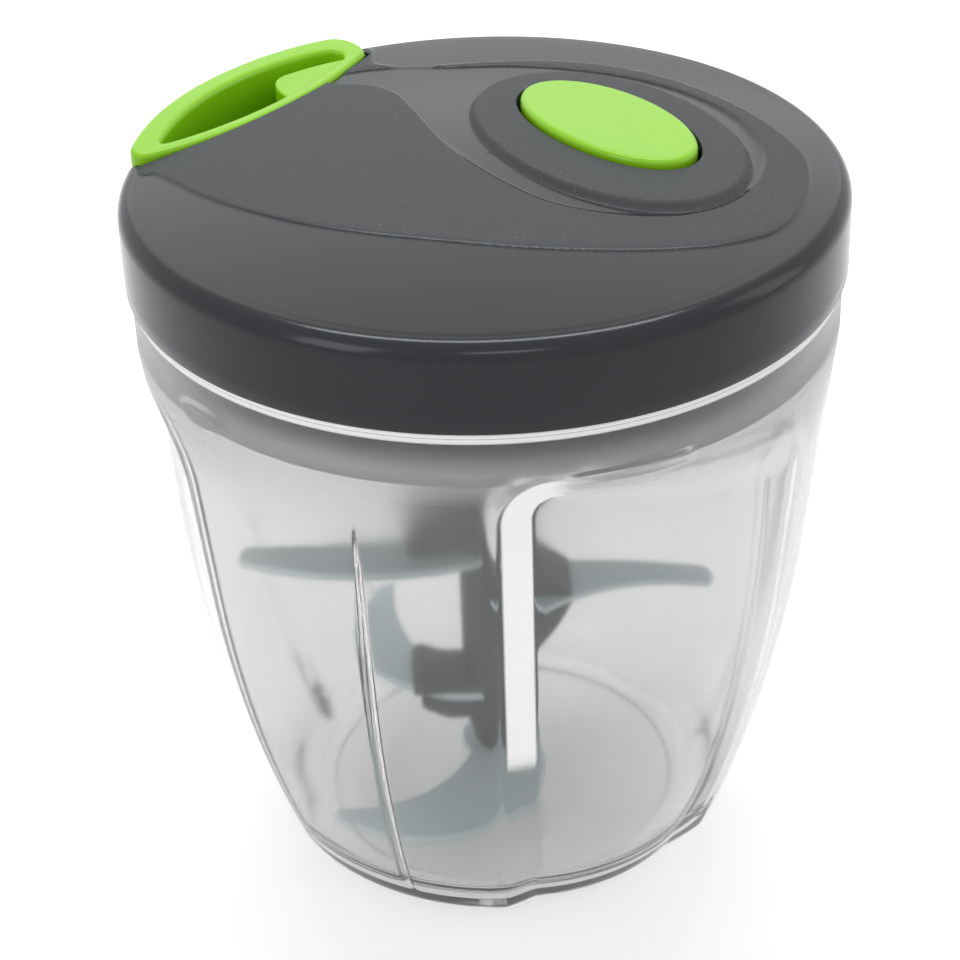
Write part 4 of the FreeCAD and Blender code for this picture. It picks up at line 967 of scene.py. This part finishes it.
def makeButton():
    edge, low = button["edge"], button["low"]
    under = [(-11, 0.0), (-2, 0.0), (-0.5, 0.0), (0.0, 0.3)]  # growth of the oval, height over the low end
    crown = [(edge * (1 - math.cos(turn)), edge * (1 - math.sin(turn))) for turn in np.linspace(0, pi / 2, 7)]
    crown += [(inset, button["dish"] * smooth((inset - edge) / 8)) for inset in (1.6, 2.6, 4, 6, 8, 9.2)]

    def ovalRing(grow, height):
        loop = ovalLoop(button["centre"], button["long"], button["short"], grow)
        return np.column_stack([loop, height(*loop.T)])

    rings = [ovalRing(grow, lambda x, y: 0 * x + low + up) for grow, up in under]
    rings += [ovalRing(-inset, lambda x, y: domeHeight(x, y) + button["rise"] - drop)
              for inset, drop in crown]
    cap = ringMesh("buttonCap", rings, 50)
    start, radius, tip, tipLow = (button[key] for key in ("stemLow", "stemRadius", "tipRadius", "tipLow"))
    profile = [(0.8, tipLow), (tip, tipLow + 0.3), (tip, start), (radius - 0.2, start), (radius, start + 0.2),
               (radius, low + 1), (1, low + 1)]
    stem = turnedMesh("buttonStem", profile, 40, button["stem"])
    finish(joinPieces("button", [cap, stem]), "lime", "button", "button")


# the coil that lifts the button, built at a single length
coil = {"low": 129.25, "high": 141.25, "radius": 2.65, "wire": 0.35, "turns": 6.0, "shut": 0.75}


def makeButtonCoil():
    # the end turns lie closer together than the others
    share = np.linspace(0, 1, 241)
    turn = 2 * pi * coil["turns"] * share
    rise = share - 0.07 * np.sin(2 * pi * share)
    (x, y), radius, wire = button["stem"], coil["radius"], coil["wire"]
    low, high = coil["low"] + wire, coil["high"] - wire
    path = np.stack([x + radius * np.cos(turn), y + radius * np.sin(turn), low + (high - low) * rise], 1)
    piece = tubeMesh("buttonCoil", path, wire, 10)
    finish(piece, "spring", "lid", "button_spring")
    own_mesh(piece)


makeButton()
makeButtonCoil()
print("button made")


# spindle: column with a fine joint line, foot, hexagonal socket and the blades' holders
spindle = {
    "around": 96, "top": 112.4, "socketLow": 97.5, "socketHalf": 5.2, "holderHalf": 6.3,
    # radius and height up the outside
    "outside": [
        (2.2, 6.7), (3.0, 6.65), (4.1, 6.6), (4.4, 6.9), (4.4, 11.1), (5.3, 11.2), (5.6, 11.5), (7.2, 19.4),
        (7.4, 20.2), (7.4, 44), (7.4, 66), (7.4, 71.5), (7.15, 71.9), (7.15, 72.6), (7.4, 73), (7.4, 111.8),
        (7.2, 112.25), (6.9, 112.4)],
    # the angle each holder points to, and its side profile (out from the axis, height)
    "holders": [
        (180, [(2, 60.6), (17.5, 60.6), (17.5, 73.2), (16.4, 74.4), (2, 74.4)]),
        (0, [(2, 49.6), (15, 49.6), (15, 50.6), (10.6, 54.2), (7.2, 57.5), (2, 57.5)]),
        (0, [(2, 35.4), (7.4, 35.6), (12, 42), (15, 47.6), (15, 48.4), (2, 48.4)]),
        (183, [(2, 26.6), (18, 26.6), (18, 30.4), (16.4, 31.8), (11, 29.6), (2, 29.6)]),
        (183, [(2, 20.4), (11, 20.4), (16.4, 23.4), (16.4, 25.4), (2, 25.4)])],
}


def makeSpindle():
    flats = spindle["socketHalf"] / np.cos(evenAngles(spindle["around"]) % (pi / 3) - pi / 6)
    low, top, half = spindle["socketLow"], spindle["top"], spindle["holderHalf"]
    socket = [(flats + 0.35, top), (flats, top - 0.4), (flats, low), (0.6, low)]
    parts = [turnedMesh("column", spindle["outside"] + socket, spindle["around"], sharpAngle=40)]
    upright = Matrix(((1, 0, 0, 0), (0, 0, -1, 0), (0, 1, 0, 0), (0, 0, 0, 1)))
    for turn, profile in spindle["holders"]:
        place = Matrix.Rotation(math.radians(turn), 4, "Z") @ upright
        loop = roundCorners(profile, 0.8)
        parts.append(plateMesh("holder", loop, -half, half, 0.7, place=place, sharpAngle=40))
    finish(joinPieces("spindle", parts), "spindle", "spindle", "spindle")


def roundCorners(corners, radius):
    # cuts each corner of a polygon with a short curve
    corners = np.asarray(corners, float)
    result = []
    for i, corner in enumerate(corners):
        before, after = corners[i - 1] - corner, corners[(i + 1) % len(corners)] - corner
        cut = min(radius, 0.45 * np.linalg.norm(before), 0.45 * np.linalg.norm(after))
        a, b = corner + unit(before) * cut, corner + unit(after) * cut
        for t in (0, 0.33, 0.67, 1):
            result.append((1 - t) ** 2 * a + 2 * t * (1 - t) * corner + t ** 2 * b)
    return np.array(result)


# blades: height, tip angle, reach, the tip's half width, bow of the leading and trailing edge, roots of the
# two edges, and how far out the trailing one starts
blades = {
    "blade_top": (60.0, 184.5, 49.6, 3.2, 5.4, 2.3, 100.0, -60.0, 7.3),
    "blade_upper": (49.0, 0.6, 42.4, 3.1, 2.4, 4.2, 62.0, -47.0, 14.0),
    "blade_middle": (26.0, 127.0, 41.0, 2.8, 14.5, 4.6, 127.0, 72.0, 7.3),
    "blade_low": (10.6, -141.5, 40.2, 3.0, 17.0, 6.0, 125.0, 0.0, 8.2),
}
bladeShape = {
    # eyes and seats are radii, and the lowest blade under lowHeight has its own
    "thickness": 1.2, "eye": 7.3, "seat": 6.2, "lowHeight": 20, "lowEye": 8.2, "lowSeat": 4.35,
    "nose": 0.6, "noseGrind": 0.5, "grind": 0.9, "edge": 0.18, "blunt": 0.18, "underEdge": 0.12,
}


def bowLine(start, end, bow, count):
    # an arc between two points that bows to the left of the way from start to end
    way = np.subtract(end, start)
    length = np.linalg.norm(way)
    left = np.array([-way[1], way[0]]) / length
    radius = (length ** 2 / 4 + bow ** 2) / (2 * abs(bow))
    centre = np.add(start, end) / 2 + left * (bow - math.copysign(radius, bow))
    first, last = (math.atan2(*(point - centre)[::-1]) for point in (start, end))
    sweep = (last - first + pi) % (2 * pi) - pi
    return arcPoints(centre, radius, first, first + sweep, count)


def makeBlade(name, row):
    height, angle, reach, tip, leadBow, trailBow, leadRoot, trailRoot, flank = row
    shape = bladeShape
    isLow = height < shape["lowHeight"]
    eye, seat = (shape["lowEye"], shape["lowSeat"]) if isLow else (shape["eye"], shape["seat"])
    trailing = bowLine(polar(flank, trailRoot), (reach, -tip), trailBow, 40)
    nose = arcPoints((0, 0), tip, -pi / 2, pi / 2, 13)[1:-1] * (shape["nose"], 1) + (reach, 0)
    leading = bowLine((reach, tip), polar(eye, leadRoot), -leadBow, 48)
    back = arcPoints((0, 0), eye, math.radians(leadRoot), math.radians(trailRoot + 360), 40)[1:-1]
    loop = np.concatenate([trailing, nose, leading, back])
    # the leading edge is ground to a thin edge, easing out towards both its ends
    ease = np.sin(np.linspace(0.12, pi - 0.35, len(leading))) ** 0.6
    grind = np.concatenate([np.full(len(trailing), shape["edge"]), np.full(len(nose), shape["noseGrind"]),
                            shape["grind"] * ease, np.full(len(back), shape["edge"])])
    grind = np.convolve(np.concatenate([grind[-2:], grind, grind[:2]]), np.ones(5) / 5, "valid")
    inward = -outlineNormals(loop)
    low, high = height - shape["thickness"] / 2, height + shape["thickness"] / 2
    under, plain = shape["underEdge"], np.zeros(len(loop))
    levels = [(low, plain + under), (low + 0.1, plain), (low + shape["blunt"] + 0.1, plain), (high, grind),
              (high, grind + under)]
    points = [(x, y, z) for z, inset in levels for x, y in loop + inward * inset[:, None]]
    count = len(points)
    hole = arcPoints((0, 0), seat, 2 * pi, 0, 49)[:-1]
    points += [(x, y, z) for z in (low, high) for x, y in hole]
    faces = ringFaces(len(levels), len(loop)) + ringFaces(2, len(hole), count)
    for outer, inner in ((0, count), (count - len(loop), count + len(hole))):
        faces += capFaces(points, [range(outer, outer + len(loop)), range(inner, inner + len(hole))])
    place = Matrix.Rotation(math.radians(angle), 4, "Z")
    piece = makeObject(name.replace("blade_", "") + "Blade", points, faces, 12, place)
    finish(piece, "blade", "spindle", name)


makeSpindle()
for name, row in blades.items():
    makeBlade(name, row)
print("spindle and blades made")


# cord: the run to the handle follows the pull, the turns lie on the drum
cord = {
    "radius": 0.9, "height": 135.0, "drum": 18.0, "turns": 3.3, "pitch": 1.82,
    "runFrom": 0.5, "runTo": 51.0, "stretchFrom": 12, "stretchTo": 48,  # along the pull
}


def makeCord():
    angle = pull["angle"]
    way = np.array([*polar(1, angle), 0])
    base = np.array([*polar(cord["drum"], angle - 90), cord["height"]])
    path = [base + way * x for x in np.linspace(cord["runFrom"], cord["runTo"], 90)]
    run = tubeMesh("cordRun", path, cord["radius"])
    finish(run, "cord", None, "cord_run")
    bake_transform(run)
    back = (1 - np.linspace(0, 1, 180)) * cord["turns"]  # turns before the run
    angles = math.radians(angle - 90) - back * 2 * pi
    path = ringAt(angles, cord["drum"], cord["height"] - back * cord["pitch"])
    turns = tubeMesh("cordTurns", path, cord["radius"])
    finish(turns, "cord", "drum", "cord_winding")


makeCord()
print("cord made")


# the mechanism keeps its solids from the frame, with its own finishes
kept = {
    "pin": ("pivot_pin", "cord_eyelet", "pawl_pin_front", "pawl_pin_back", "spindle_bush"),
    "inner": ("lid_inner_cover",), "seal": ("rim_seal", "shaft_seal", "vent_valve"),
    "screw": ("cover_screws", "plate_screws"), "cord": ("cord_bead",), "spring": ("recoil_spring",),
    "nylon": ("cord_drum", "spring_cap", "pawl_front", "pawl_back", "drive_hub", "bearing_plate"),
}
for kind, names in kept.items():
    for node in (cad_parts[name] for name in names):
        if not node.material_slots:
            node.data.materials.append(finishes[kind])
        for place in node.material_slots:
            place.material = finishes[kind]
print("mechanism dressed")
